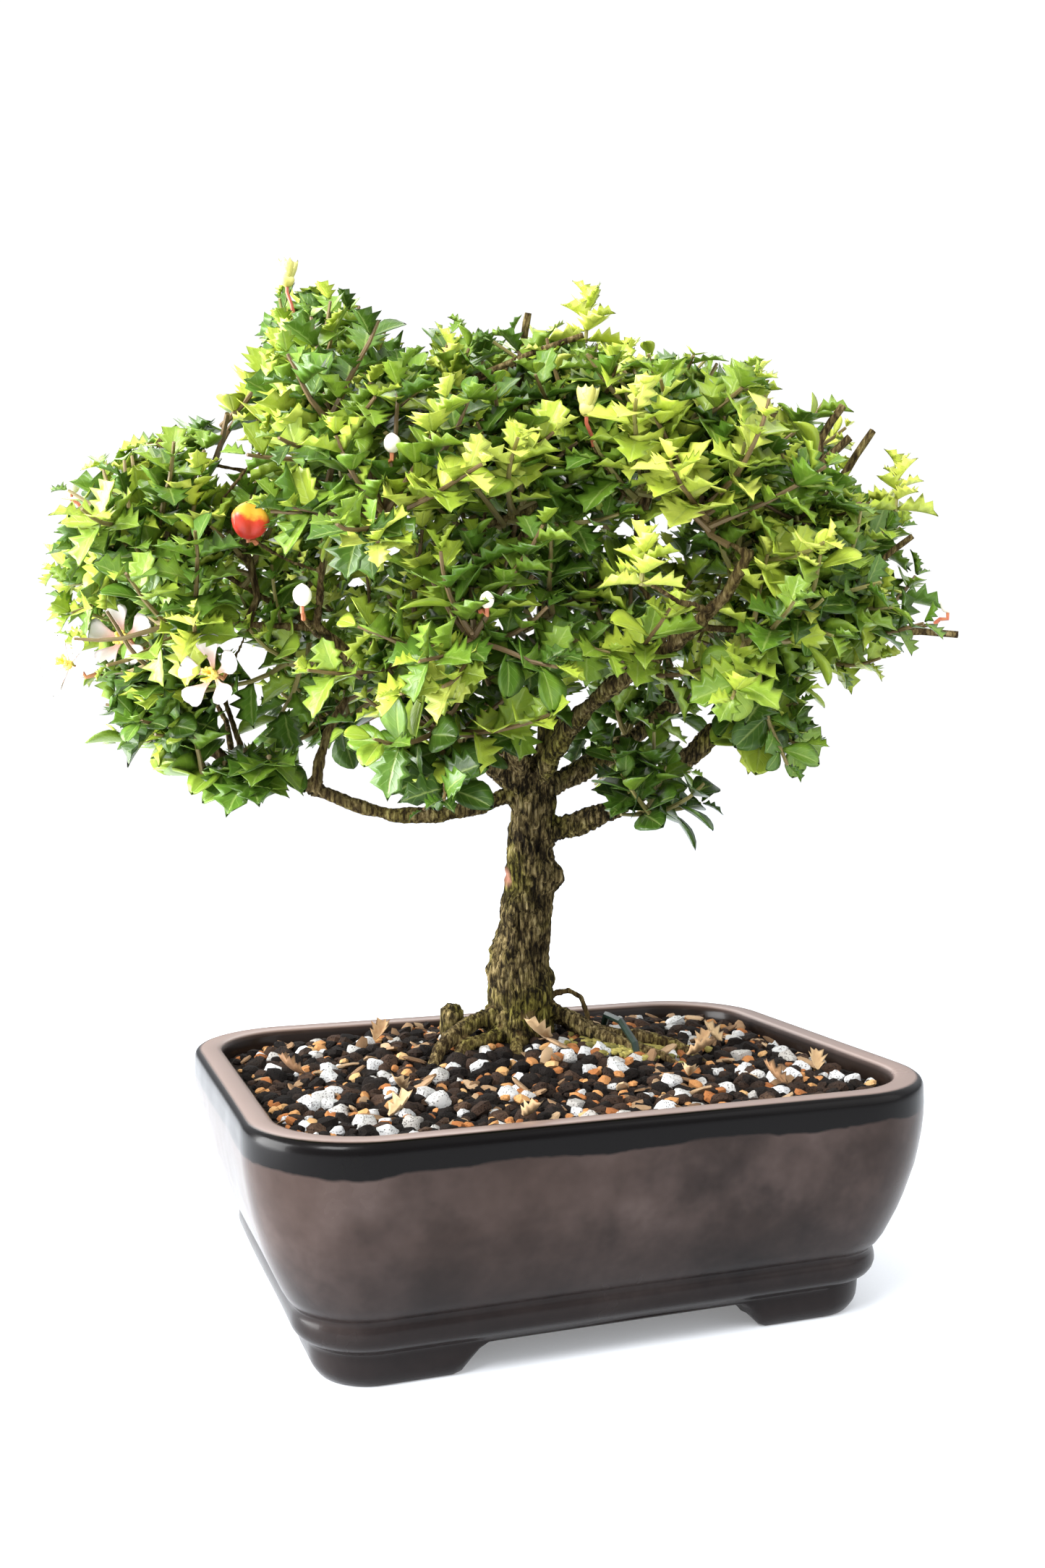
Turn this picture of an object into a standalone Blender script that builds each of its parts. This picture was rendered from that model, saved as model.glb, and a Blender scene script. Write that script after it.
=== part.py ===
"""A dwarf holly grown as a bonsai, in a glazed rectangular pot with corner feet.

Metres, +Z up. The pot stands on the plane of zero height, its long side along X. The tree is set
out from its own foot, in the directions of someone looking at its front: right, back and up.
"""

import math
import random

import bmesh
import bpy
from mathutils import Matrix, Vector, noise
from mathutils.bvhtree import BVHTree

MM = 0.001
UP = Vector((0.0, 0.0, 1.0))

# Pot
POT_LENGTH = 0.204
POT_WIDTH = 0.157
POT_HEIGHT = 0.0705
RIM_WIDTH = 0.009
FLOOR_TOP = 0.018
FLOOR_UNDERSIDE = 0.0085
CORNER_STEPS = 4
# Outer wall, foot to rim: how far it stands in from the widest outline, its height and corner radius
OUTER_WALL = (
    (0.0216, 0.0, 0.0145),
    (0.0188, 0.003, 0.0165),
    (0.0182, 0.0095, 0.0170),
    (0.0150, 0.0112, 0.0195),
    (0.0132, 0.0150, 0.0210),
    (0.0150, 0.0192, 0.0195),
    (0.0128, 0.0214, 0.0215),
    (0.0090, 0.0280, 0.0240),
    (0.0045, 0.0390, 0.0275),
    (0.0012, 0.0520, 0.0310),
    (0.0, 0.0620, 0.0325),
    (0.0, 0.0690, 0.0330),
    (0.0013, POT_HEIGHT, 0.0320),
)
# Inner wall, rim to floor, in the same terms
INNER_WALL = (
    (RIM_WIDTH, POT_HEIGHT, 0.0250),
    (0.0100, 0.0660, 0.0240),
    (0.0125, 0.0400, 0.0215),
    (0.0200, 0.0230, 0.0160),
    (0.0260, FLOOR_TOP, 0.0110),
)
# Upper edge of the gap between two feet: how far in from the foot, and its height
ARCH_EDGE = ((0.0, 0.0015), (0.0025, 0.0051), (0.0085, 0.0082))
FRONT_ARCH_HALF = 0.047
SIDE_ARCH_HALF = 0.027
RECESS_HALF = (0.070, 0.0465)
RECESS_RADIUS = 0.010
DRAIN_RADIUS = 0.007
DRAIN_X = 0.048
DRAIN_SIDES = 16
MESH_SIDE = 0.021
MESH_THICK = 0.0008
# How far a cutter runs past what it cuts
CUT_PAST = 0.004

# Soil
GAP = 0.00032
SOIL_EDGE = 0.0660
MOUND_RISE = 0.0072
MOUND_REACH = 0.046
# Grit: how far the surface goes up and down, its cells each way, and how far a corner strays in its cell
GRIT = 0.0014
SOIL_CELLS = (17, 13)
SOIL_STRAY = 0.3
SOIL_REACH = 1.1
FILL_ABOVE = 0.020
POCKET_HALF = 0.0016
# Pebbles: how many, how large, how far from the pot's side, out of the soil, from wood and from each other
PEBBLES = 11
PEBBLE_RADIUS = 0.0040
PEBBLE_MARGIN = 0.019
PEBBLE_RISE = 0.0006
PEBBLE_TO_WOOD = 0.0105
PEBBLE_APART = 0.0085
PEBBLE_AXIS = Vector((0.69, 0.69, 0.21))
# Holes that the trunk, its roots and the wire pass down through, a little wider than these
HOLE_GAP = 0.00042
TRUNK_HOLE_GAP = 0.00051

# Tree
FACING = math.radians(-19.9)
TRUNK_FOOT = Vector((0.005, 0.025, 0.0730))
TRUNK_SIDES = 12
# Bark: how far its ridges stand up and down, and how close they lie across and along the trunk
BARK_RIDGE = 0.0007
BARK_ACROSS = 260.0
BARK_ALONG = 60.0
# Trunk: (right, back, up, radius), from its buried end to the fork
TRUNK = (
    (-0.0040, 0.0, -0.026, 0.0070),
    (-0.0038, 0.0, -0.008, 0.0115),
    (-0.0036, 0.0, 0.001, 0.0122),
    (-0.0034, 0.0, 0.010, 0.0104),
    (-0.0040, 0.0, 0.020, 0.0101),
    (-0.0026, 0.0, 0.031, 0.0086),
    (-0.0017, 0.0, 0.039, 0.0090),
    (-0.0008, 0.0, 0.047, 0.0079),
    (0.0, 0.0, 0.053, 0.0086),
    (0.0, 0.0, 0.060, 0.0078),
    (0.0004, 0.0, 0.068, 0.0075),
    (0.0010, 0.0, 0.076, 0.0078),
    (0.0008, 0.0, 0.083, 0.0066),
    (-0.0004, 0.001, 0.090, 0.0040),
)
TRUNK_FOOT_ROWS = 6
# Surface roots: route as (right, back, up), radius where it leaves the trunk, radius at its tip
ROOTS = (
    (((-4, -2, 8), (-16, -8, 6), (-24, -14, 3), (-29, -20, -1), (-31, -26, -7), (-33, -30, -11)), 3.4, 2.2),
    (((-3, -5, 3), (-13, -13, 0.5), (-21, -17, -1), (-25, -22, -7)), 3.2, 2.2),
    (((-24, 1, -9), (-26, 0, 2), (-25.5, -1, 9.5)), 4.2, 3.5),
    (((4, -1, 9), (14, -5, 5), (21, -8, 1), (30, -14, -1), (42, -20, -3.5), (52, -27, -9)), 3.3, 1.4),
    (((12, -3, 4), (24, -5, 0.5), (36, -7, 0), (47, -9, -2), (57, -15, -8)), 3.0, 1.8),
    (((5, 1, 12), (13, 2, 13.5), (17, 3, 11), (19, 3, 5), (19.5, 3, -5)), 1.3, 1.1),
    (((-2, -6, 2), (-5, -17, -1.5), (-2, -27, -7)), 3.0, 1.6),
    (((-2, 6, 5), (-8, 19, 0.5), (-13, 31, -8)), 3.4, 1.6),
    (((5, 6, 5), (17, 16, -0.5), (27, 25, -9)), 3.2, 1.6),
)
ROOT_SIDES = 6
TIE_ROUTE = ((24, 5, -24), (24, 4, -10), (24, 3, 0), (25, -3, 6.4), (29, -12, 6.0), (33, -19, 0.5),
             (35, -21, -10), (36, -22, -24))
TIE_RADIUS = 1.15
TIE_STEP = 0.012
# Main limbs, in the same terms
LIMBS = (
    (((0, 0, 76), (-9, -1, 78.5), (-17, -2, 75), (-30, -4, 72.3), (-45, -6, 72.3), (-58, -8, 76),
      (-71, -9, 81.5), (-85, -11, 87), (-97, -14, 89)), 3.1, 1.9),
    (((-70, -9, 81), (-68.5, -8, 91), (-66, -6, 100), (-60, -3, 111)), 2.5, 1.7),
    (((0, -1, 79), (-10, -8, 88), (-21, -14, 95.5), (-32, -20, 103), (-43, -26, 111), (-54, -34, 121),
      (-66, -40, 132)), 4.2, 1.9),
    (((0, 1, 80), (-5, 6, 92), (-9, 13, 103), (-13, 22, 117), (-20, 31, 137), (-30, 38, 158)), 4.7, 2.0),
    (((1, 0, 80), (5, 1, 93), (6, 1, 104), (4, -3, 117), (4, -7, 138), (7, -9, 164), (3, -6, 188)), 4.3, 1.8),
    (((3, 1, 80), (15, 6, 86), (27, 12, 92), (37, 18, 99), (48, 25, 108), (66, 34, 124),
      (84, 40, 146)), 3.9, 1.8),
    (((2, 0, 66), (15, -3, 69), (27, -6, 74.5), (39, -8, 82), (50, -9, 90.5), (60, -9, 100),
      (70, -8, 110), (78, -6, 123), (80, -2, 140), (84, 3, 160)), 4.4, 2.0),
    (((78, -6, 122), (92, -8, 133), (103, -9, 146)), 2.4, 1.5),
    (((2, -2, 82), (10, -20, 98), (24, -42, 113), (42, -58, 125), (55, -67, 138), (61, -72, 150)), 3.5, 1.8),
    (((-2, -2, 82), (-6, -18, 98), (-10, -36, 112), (-14, -52, 127), (-16, -60, 142)), 3.3, 1.7),
    (((-24, 34, 147), (-44, 38, 168), (-60, 30, 192), (-72, 18, 214)), 2.2, 1.3),
    (((-9, 13, 103), (-22, 33, 112), (-42, 52, 122), (-58, 60, 132)), 2.8, 1.6),
    (((48, 25, 108), (50, 42, 122), (48, 56, 138)), 2.4, 1.5),
)
LIMB_STEP = 0.017
# A limb thicker than this has six sides, any other has four
THIN_LIMB = 2.6
ROOT_STEP = 0.011
SAMPLE_STEP = 0.006
CUT_STUBS = (
    (((-90, -12.5, 88), (-98, -13.5, 90.5), (-106, -14, 94)), 1.6, 1.3),
    (((99, -9, 141), (105, -10, 139), (116, -14, 133)), 1.6, 1.3),
)

# Crown: each tier of leaf pads as its height, middle, half width, half depth, number of pads and turn
TIERS = (
    (0.104, -0.022, 0.088, 0.060, 5, 50.0),
    (0.130, -0.013, 0.112, 0.074, 7, 12.0),
    (0.157, -0.019, 0.112, 0.076, 8, 35.0),
    (0.184, -0.016, 0.098, 0.066, 6, 5.0),
    (0.204, -0.012, 0.062, 0.038, 4, 30.0),
)
TIER_WAVE = 0.005
TIER_WAVE_TURN = 2.3
TIER_WAVE_RISE = 40.0
CROWN_BACK = -0.004
CROWN_HEART = (-0.012, 0.0, 0.138)
CROWN_HALF_HEIGHT = 0.080
# Pads outside the tiers: place in millimetres and size
LONE_PADS = (
    ((-94, -22, 86), 0.74),
    ((-76, 6, 226), 0.62),
    ((31, -21, 75), 0.50),
    ((-8, -4, 200), 0.80),
    ((-12, -60, 176), 0.80),
)
# A pad's core: half its size each way, how uneven it is and how far its flat side leans back upwards
PAD_HALF = Vector((0.0205, 0.0170, 0.0110))
PAD_JITTER = 0.10
PAD_LEAN = 0.45
# A core that touches another is moved outwards by steps and made smaller by shares
CORE_TRIES = 14
CORE_STEP = 0.002
CORE_SHRINK = 0.02
CORE_ROOM = 1.08
LIMB_ROOM = 0.0006
LEAVES_A_PAD = 6
LEAVES_A_SMALL_PAD = 5
SMALL_PAD = 0.7
# Twigs start from the outer part of a limb, at the nearest place from which they rise
TWIG_FROM = 0.3
TWIG_RISE = 0.004
TWIG_RISE_WEIGHT = 0.9
TWIG_BASE = 0.0015
TWIG_TIP = 0.0010
TWIG_OF_LIMB = 0.85
TWIG_SIDES = 4
TWIG_STEP = 0.020
TWIG_TRIES = 40
# Ways a twig may bow, sideways and upwards, as shares of its length
TWIG_BOWS = ((0.0, -0.08), (0.25, 0.0), (-0.25, 0.0), (0.0, 0.25), (0.0, -0.3), (0.45, -0.1), (-0.45, -0.1))
TWIG_BOW_AT = 0.55
# A twig meets its pad's core at least this squarely
SQUARE_ENOUGH = 0.6
SEED = 7

# Leaf and petal
LEAF_LENGTH = 0.0140
LEAF_WIDTH = 0.0115
BLADE_THICK = 0.00062
# The holly leaf's spines and the notches between them: width, way along and lift, as shares
LEAF_EDGE = ((1.0, 0.40, 0.07), (0.50, 0.56, 0.08), (0.84, 0.78, 0.04), (0.0, 1.0, -0.08))
CORNERS = ((1, 1), (-1, 1), (-1, -1), (1, -1))
FOOT_WIDTH = 0.0014
FOOT_INSET = 0.00015
LEAF_TRIES = 12
LEAF_LEAN = 0.74
LEAF_STRAY = 0.55
LEAF_ROLL = 0.5
LEAF_OUTWARD = 0.7
# Room kept about a leaf, and between a stalk and the twig it goes on from
CLEARANCE = 0.0005
STALK_GAP = 0.0004
PALE_SIZE = 0.72
PALE_RISE = 0.55
PALE_PAIRS = 3
SHOOT_RADIUS = 0.0010
SHOOT_PITCH = 0.0028
SHOOT_TURNS = (0.45, 0.7, 1.0, 0.2)
# Half a petal, foot to tip along its rib: across, along and lift
PETAL_HALF = (
    (0.0, 0.0, 0.0),
    (0.0007, 0.0032, 0.0002),
    (0.0031, 0.0060, 0.0011),
    (0.0024, 0.0088, 0.0013),
    (0.0, 0.0096, 0.0009),
)
PETALS = 5
PETAL_TURN = 0.3
PETAL_LIFT = 0.22
PETAL_SINK = 0.0006

# Where the pale young shoots, blooms, buds, seed heads and the fruit stand, in millimetres
PALE_SHOOTS = ((-70, -58, 188), (-21, -44, 210), (10, -30, 222), (30, -98, 148), (106, -30, 180))
BLOOMS = (((-91, -66, 118), (-0.3, -1.0, 0.1)), ((-127, -22, 128), (-0.35, -0.9, 0.15)),
          ((-146, -22, 121), (-0.9, -0.4, 0.35)))
BUDS = (((-40, -84, 176), 2.6), ((-62, -82, 136), 2.9), ((-14, -88, 137), 2.2), ((122, -40, 138), 2.4),
        ((-142, -18, 176), 2.7))
SEED_HEADS = ((-76, -12, 239), (17, -72, 186))
FRUIT = (-78, -66, 160)
FRUIT_LOBE = 0.0034
STAMEN_LIFT = 0.0019
BLOOM_ROOM = 0.0105
BUD_ROOM = 0.0070
HEAD_ROOM = 0.0080
SHOOT_ROOM = 0.0110
# Their stalks start this share of the room below or behind its middle
STALK_FROM = 0.9
STALK_RADIUS = 0.0006
BLOOM_STALK = (0.0007, 0.0007, 0.0011)
BLOOM_STALK_LENGTH = 0.006
BUD_STALK_LENGTH = 0.008
BUD_SINK = 0.8
HEAD_STALK_LENGTH = 0.010
FRUIT_STALK_LENGTH = 0.005
STAMENS = 5
STAMEN_SPREAD = 0.5
STAMEN_LENGTH = 0.0036
STAMEN_RADIUS = 0.00055
PRONG_TAPER = 0.6
HEART_RADIUS = 0.0014
CUP_RADIUS = 0.0028
CUP_RISE = 0.0022
HEAD_PRONGS = 7
HEAD_PRONG_LENGTH = 0.0055
FRUIT_TURN = 0.6
FRUIT_APART = 0.55


def clear_scene():
    for old in list(bpy.data.objects):
        bpy.data.objects.remove(old)


def from_foot(right, back, up):
    """A point of the tree, in metres."""
    turned = Matrix.Rotation(FACING, 3, "Z") @ Vector((right, back, 0.0))
    return TRUNK_FOOT + turned + Vector((0.0, 0.0, up))


def tree_point(place):
    """The same, from three numbers in millimetres."""
    return from_foot(*(value * MM for value in place))


def toward(right, back, up):
    return (Matrix.Rotation(FACING, 3, "Z") @ Vector((right, back, up))).normalized()


def make_material(name, colour, roughness, metallic=0.0):
    material = bpy.data.materials.new(name)
    material.use_nodes = True
    shader = material.node_tree.nodes["Principled BSDF"]
    shader.inputs["Base Color"].default_value = (*colour, 1.0)
    shader.inputs["Roughness"].default_value = roughness
    shader.inputs["Metallic"].default_value = metallic
    return material


def add_object(name, mesh, material, home):
    found = bpy.data.objects.new(name, mesh)
    if material:
        mesh.materials.clear()
        mesh.materials.append(material)
    home.objects.link(found)
    return found


def mesh_of(work, name):
    """A bmesh written to a mesh with its faces turned outwards."""
    bmesh.ops.recalc_face_normals(work, faces=work.faces)
    mesh = bpy.data.meshes.new(name)
    work.to_mesh(mesh)
    work.free()
    return mesh


def loft(rings):
    """Rings of equal count joined one to the next, the first and last filled."""
    work = bmesh.new()
    loops = [[work.verts.new(point) for point in ring] for ring in rings]
    for lower, upper in zip(loops, loops[1:]):
        for i, corner in enumerate(lower):
            j = (i + 1) % len(lower)
            work.faces.new((corner, lower[j], upper[j], upper[i]))
    work.faces.new(loops[0])
    work.faces.new(loops[-1])
    return work


def rounded_ring(half_x, half_y, radius, height, steps=CORNER_STEPS):
    ring = []
    for corner in range(4):
        side_x = 1 if corner in (0, 3) else -1
        side_y = 1 if corner in (0, 1) else -1
        for step in range(steps + 1):
            angle = math.radians(90.0 * corner + 90.0 * step / steps)
            ring.append(Vector((side_x * (half_x - radius) + radius * math.cos(angle),
                                side_y * (half_y - radius) + radius * math.sin(angle), height)))
    return ring


def wall_ring(inset, height, radius, shrink=0.0):
    inset += shrink
    return rounded_ring(POT_LENGTH / 2 - inset, POT_WIDTH / 2 - inset, radius - shrink, height)


def evaluated_mesh(source):
    bpy.context.view_layer.update()
    graph = bpy.context.evaluated_depsgraph_get()
    return bpy.data.meshes.new_from_object(source.evaluated_get(graph))


def settle_boolean(body, others, operation, solver="EXACT"):
    """Applies one Boolean of a collection to body, and removes what was in it."""
    gang = bpy.data.collections.new(body.name + "_with")
    bpy.context.scene.collection.children.link(gang)
    for other in others:
        for home in list(other.users_collection):
            home.objects.unlink(other)
        gang.objects.link(other)
    join = body.modifiers.new("Join", "BOOLEAN")
    join.operation = operation
    join.operand_type = "COLLECTION"
    join.collection = gang
    join.solver = solver
    mesh = evaluated_mesh(body)
    body.modifiers.clear()
    body.data = mesh
    for other in others:
        bpy.data.objects.remove(other)
    bpy.data.collections.remove(gang)
    drop_scraps(body.data)
    return body


def drop_scraps(mesh):
    """Keeps the largest connected body, so a sealed hollow is filled and a loose scrap goes."""
    work = bmesh.new()
    work.from_mesh(mesh)
    left = set(work.verts)
    bodies = []
    while left:
        stack = [left.pop()]
        found = list(stack)
        while stack:
            for edge in stack.pop().link_edges:
                for vert in edge.verts:
                    if vert in left:
                        left.remove(vert)
                        found.append(vert)
                        stack.append(vert)
        bodies.append(found)
    bodies.sort(key=len)
    scraps = [vert for found in bodies[:-1] for vert in found]
    bmesh.ops.delete(work, geom=scraps, context="VERTS")
    work.to_mesh(mesh)
    work.free()


def scratch(name, mesh):
    """An object that a Boolean will use up."""
    return add_object(name, mesh, None, bpy.context.scene.collection)


def make_pot(home, material):
    rings = [wall_ring(*row) for row in OUTER_WALL + INNER_WALL]
    pot = add_object("pot", mesh_of(loft(rings), "pot"), material, home)
    cutters = [scratch("recess", mesh_of(loft([
        rounded_ring(*RECESS_HALF, RECESS_RADIUS, -CUT_PAST),
        rounded_ring(*RECESS_HALF, RECESS_RADIUS, FLOOR_UNDERSIDE)]), "recess"))]
    for along, half, reach in (("Y", FRONT_ARCH_HALF, POT_WIDTH), ("X", SIDE_ARCH_HALF, POT_LENGTH)):
        cutters.append(scratch("arch", mesh_of(foot_arch(along, half, reach), "arch")))
    for side in (-1, 1):
        work = bmesh.new()
        place = Matrix.Translation((side * DRAIN_X, 0.0, FLOOR_TOP))
        bmesh.ops.create_cone(work, cap_ends=True, segments=DRAIN_SIDES, radius1=DRAIN_RADIUS,
                              radius2=DRAIN_RADIUS, depth=2 * FLOOR_TOP, matrix=place)
        cutters.append(scratch("drain", mesh_of(work, "drain")))
    return settle_boolean(pot, cutters, "DIFFERENCE")


def foot_arch(along, half, reach):
    """The gap between two feet: a long bar whose upper edges are rounded off."""
    outline = [(-half, -CUT_PAST), (half, -CUT_PAST)]
    outline += [(half - inward, height) for inward, height in ARCH_EDGE]
    outline += [(inward - half, height) for inward, height in reversed(ARCH_EDGE)]
    rings = []
    for end in (-reach, reach):
        if along == "Y":
            rings.append([Vector((x, end, z)) for x, z in outline])
        else:
            rings.append([Vector((end, x, z)) for x, z in outline])
    return loft(rings)


def ground(x, y):
    """Height of the smooth soil, which rises to the foot of the trunk."""
    away = (Vector((x, y)) - TRUNK_FOOT.xy).length / MOUND_REACH
    return SOIL_EDGE + MOUND_RISE * math.exp(-away * away)


def make_soil(home, material, rooted):
    """The soil fills the pot. Grit stands up from it, and what passes down through it has its hole."""
    filled = [wall_ring(*row, GAP) for row in INNER_WALL[1:]]
    for point in filled[0]:
        point.z = POT_HEIGHT + FILL_ABOVE
    for point in filled[-1]:
        point.z += GAP
    body = scratch("fill", mesh_of(loft(filled), "fill"))
    work = bmesh.new()
    bmesh.ops.create_grid(work, x_segments=SOIL_CELLS[0], y_segments=SOIL_CELLS[1], size=0.5)
    rng = random.Random(SEED)
    cell = POT_LENGTH / SOIL_CELLS[0]
    for vert in work.verts:
        x = vert.co.x * POT_LENGTH + rng.uniform(-SOIL_STRAY, SOIL_STRAY) * cell
        y = vert.co.y * POT_WIDTH + rng.uniform(-SOIL_STRAY, SOIL_STRAY) * cell
        vert.co = Vector((x, y, ground(x, y) + rng.uniform(-GRIT, GRIT)))
    for vert in work.verts:
        if vert.is_boundary:
            vert.co.x *= SOIL_REACH
            vert.co.y *= SOIL_REACH
    bmesh.ops.triangulate(work, faces=work.faces)
    drop = bmesh.ops.extrude_face_region(work, geom=list(work.faces))
    for item in drop["geom"]:
        if isinstance(item, bmesh.types.BMVert):
            item.co.z = -CUT_PAST
    soil = add_object("soil", mesh_of(work, "soil"), material, home)
    settle_boolean(soil, [body], "INTERSECT")
    settle_boolean(soil, pebbles(rng), "UNION")
    for side in (-1, 1):
        pocket = box_mesh((side * DRAIN_X, 0.0, FLOOR_TOP), MESH_SIDE / 2 + GAP, POCKET_HALF)
        rooted.append(scratch("pocket", pocket))
    settle_boolean(soil, rooted, "DIFFERENCE")
    return soil


def box_mesh(middle, half_side, half_height):
    work = bmesh.new()
    bmesh.ops.create_cube(work, size=2.0)
    bmesh.ops.scale(work, vec=(half_side, half_side, half_height), verts=work.verts)
    bmesh.ops.translate(work, vec=middle, verts=work.verts)
    return mesh_of(work, "box")


def pebbles(rng):
    """Grains that stand out of the soil, clear of the trunk and its roots."""
    made = []
    places = root_samples()
    while len(made) < PEBBLES:
        x = rng.uniform(-1, 1) * (POT_LENGTH / 2 - PEBBLE_MARGIN)
        y = rng.uniform(-1, 1) * (POT_WIDTH / 2 - PEBBLE_MARGIN)
        place = Vector((x, y, ground(x, y) + PEBBLE_RISE))
        if min((place - point).length for point in places) < PEBBLE_TO_WOOD:
            continue
        if any((place - other).length < PEBBLE_APART for _, other in made):
            continue
        work = bmesh.new()
        bmesh.ops.create_icosphere(work, subdivisions=1, radius=PEBBLE_RADIUS * rng.uniform(0.75, 1.15))
        for vert in work.verts:
            vert.co *= rng.uniform(0.85, 1.15)
        turn = Matrix.Rotation(rng.uniform(0, math.pi), 3, PEBBLE_AXIS)
        bmesh.ops.rotate(work, matrix=turn, verts=work.verts)
        bmesh.ops.translate(work, vec=place, verts=work.verts)
        made.append((scratch("pebble", mesh_of(work, "pebble")), place))
    return [grain for grain, _ in made]


def root_samples():
    """Points along the trunk's foot and its roots."""
    found = [from_foot(*row[:3]) for row in TRUNK[:TRUNK_FOOT_ROWS]]
    for route, _, _ in ROOTS:
        found += [point for point, _ in smooth_route(route, SAMPLE_STEP)]
    return found


def smooth_route(route, step):
    """Points about a step apart on a smooth curve through the route, each with its share of the way."""
    knots = [tree_point(place) for place in route]
    ends = [knots[0] * 2 - knots[1]] + knots + [knots[-1] * 2 - knots[-2]]
    points = []
    for before, start, end, after in zip(ends, ends[1:], ends[2:], ends[3:]):
        pieces = max(1, round((end - start).length / step))
        for piece in range(pieces):
            points.append(between(before, start, end, after, piece / pieces))
    points.append(knots[-1])
    lengths = [0.0]
    for a, b in zip(points, points[1:]):
        lengths.append(lengths[-1] + (b - a).length)
    return [(point, length / lengths[-1]) for point, length in zip(points, lengths)]


def between(before, start, end, after, t):
    """A point of the Catmull-Rom curve from start to end."""
    return 0.5 * (2 * start + (end - before) * t + (2 * before - 5 * start + 4 * end - after) * t * t
                  + (3 * start - before - 3 * end + after) * t * t * t)


def tube(points, radii, sides, swell=0.0):
    """A closed tube along the points, from a curve with its caps welded. It may be swollen all round."""
    points = [point.copy() for point in points]
    points[0] += (points[0] - points[1]).normalized() * swell
    points[-1] += (points[-1] - points[-2]).normalized() * swell
    data = bpy.data.curves.new("tube", "CURVE")
    data.dimensions = "3D"
    data.bevel_depth = 1.0
    data.bevel_resolution = (sides - 4) // 2
    data.use_fill_caps = True
    spline = data.splines.new("POLY")
    spline.points.add(len(points) - 1)
    for knot, point, radius in zip(spline.points, points, radii):
        knot.co = (*point, 1.0)
        knot.radius = radius + swell
    guide = bpy.data.objects.new("tube", data)
    bpy.context.scene.collection.objects.link(guide)
    mesh = evaluated_mesh(guide)
    bpy.data.objects.remove(guide)
    work = bmesh.new()
    work.from_mesh(mesh)
    bmesh.ops.remove_doubles(work, verts=work.verts, dist=0.00002)
    return mesh_of(work, "tube")


def limb_tube(route, thick, thin, sides, step, swell=0.0):
    samples = smooth_route(route, step)
    radii = [(thick + (thin - thick) * share) * MM for _, share in samples]
    return tube([point for point, _ in samples], radii, sides, swell)


def limb_sides(thick):
    return 6 if thick > THIN_LIMB else 4


def trunk_tube(rows, swell=0.0):
    mesh = tube([from_foot(*row[:3]) for row in rows], [row[3] for row in rows], TRUNK_SIDES, swell)
    for vert in mesh.vertices:
        around = vert.co - TRUNK_FOOT
        wave = noise.noise(Vector((around.x * BARK_ACROSS, around.y * BARK_ACROSS, around.z * BARK_ALONG)))
        vert.co += Vector((around.x, around.y, 0.0)).normalized() * BARK_RIDGE * wave
    return mesh


def make_wood(home, material, twigs):
    """Trunk, roots, limbs and twigs, grown as one body."""
    trunk = add_object("trunk_and_branches", trunk_tube(TRUNK), material, home)
    others = [scratch("root", limb_tube(*root, ROOT_SIDES, ROOT_STEP)) for root in ROOTS]
    for route, thick, thin in LIMBS + CUT_STUBS:
        others.append(scratch("limb", limb_tube(route, thick, thin, limb_sides(thick), LIMB_STEP)))
    others += [scratch("twig", mesh) for mesh in twigs]
    return settle_boolean(trunk, others, "UNION", "MANIFOLD")


def root_holes():
    """The trunk's foot, its roots and the wire a little thicker, to cut their holes in the soil."""
    found = [trunk_tube(TRUNK[:TRUNK_FOOT_ROWS], TRUNK_HOLE_GAP), tie_mesh(HOLE_GAP)]
    found += [limb_tube(*root, ROOT_SIDES, ROOT_STEP, HOLE_GAP) for root in ROOTS]
    return [scratch("hole", mesh) for mesh in found]


def tie_mesh(swell=0.0):
    """The coated wire that holds the root ball down: over a root, and both legs down into the soil."""
    return limb_tube(TIE_ROUTE, TIE_RADIUS, TIE_RADIUS, ROOT_SIDES, TIE_STEP, swell)


def pad_places():
    """Middle, outward direction and size of each pad of leaves."""
    found = []
    for height, middle, half_width, half_depth, count, turn in TIERS:
        for i in range(count):
            angle = math.radians(turn + 360.0 * i / count)
            right = middle + half_width * math.cos(angle)
            back = CROWN_BACK + half_depth * math.sin(angle)
            up = height + TIER_WAVE * math.sin(TIER_WAVE_TURN * i + TIER_WAVE_RISE * height)
            lift = (height - CROWN_HEART[2]) / CROWN_HALF_HEIGHT
            outward = toward(math.cos(angle) * half_width, math.sin(angle) * half_depth, lift * half_depth)
            found.append((from_foot(right, back, up), outward, 1.0))
    for place, size in LONE_PADS:
        middle = tree_point(place)
        found.append((middle, (middle - from_foot(*CROWN_HEART)).normalized(), size))
    return found


def tree_of(mesh):
    work = bmesh.new()
    work.from_mesh(mesh)
    found = BVHTree.FromBMesh(work)
    work.free()
    return found


def pad_core(middle, outward, size, rng):
    """The dense middle of a pad, flat along the way it faces."""
    work = bmesh.new()
    bmesh.ops.create_icosphere(work, subdivisions=1, radius=1.0)
    for vert in work.verts:
        vert.co *= 1.0 + rng.uniform(-PAD_JITTER, PAD_JITTER)
    lean = outward.lerp(UP, PAD_LEAN).normalized()
    frame = lean.to_track_quat("Z", "Y").to_matrix().to_4x4()
    scale = Matrix.Diagonal((*(PAD_HALF * size), 1.0))
    bmesh.ops.transform(work, matrix=Matrix.Translation(middle) @ frame @ scale, verts=work.verts)
    return mesh_of(work, "core")


def clear_of(candidate, fixed):
    return not any(candidate.overlap(other) for other in fixed)


def inside(tree, point):
    """Whether a point lies within a closed body."""
    near, normal = tree.find_nearest(point)[:2]
    return (point - near).dot(normal) < 0.0


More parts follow.
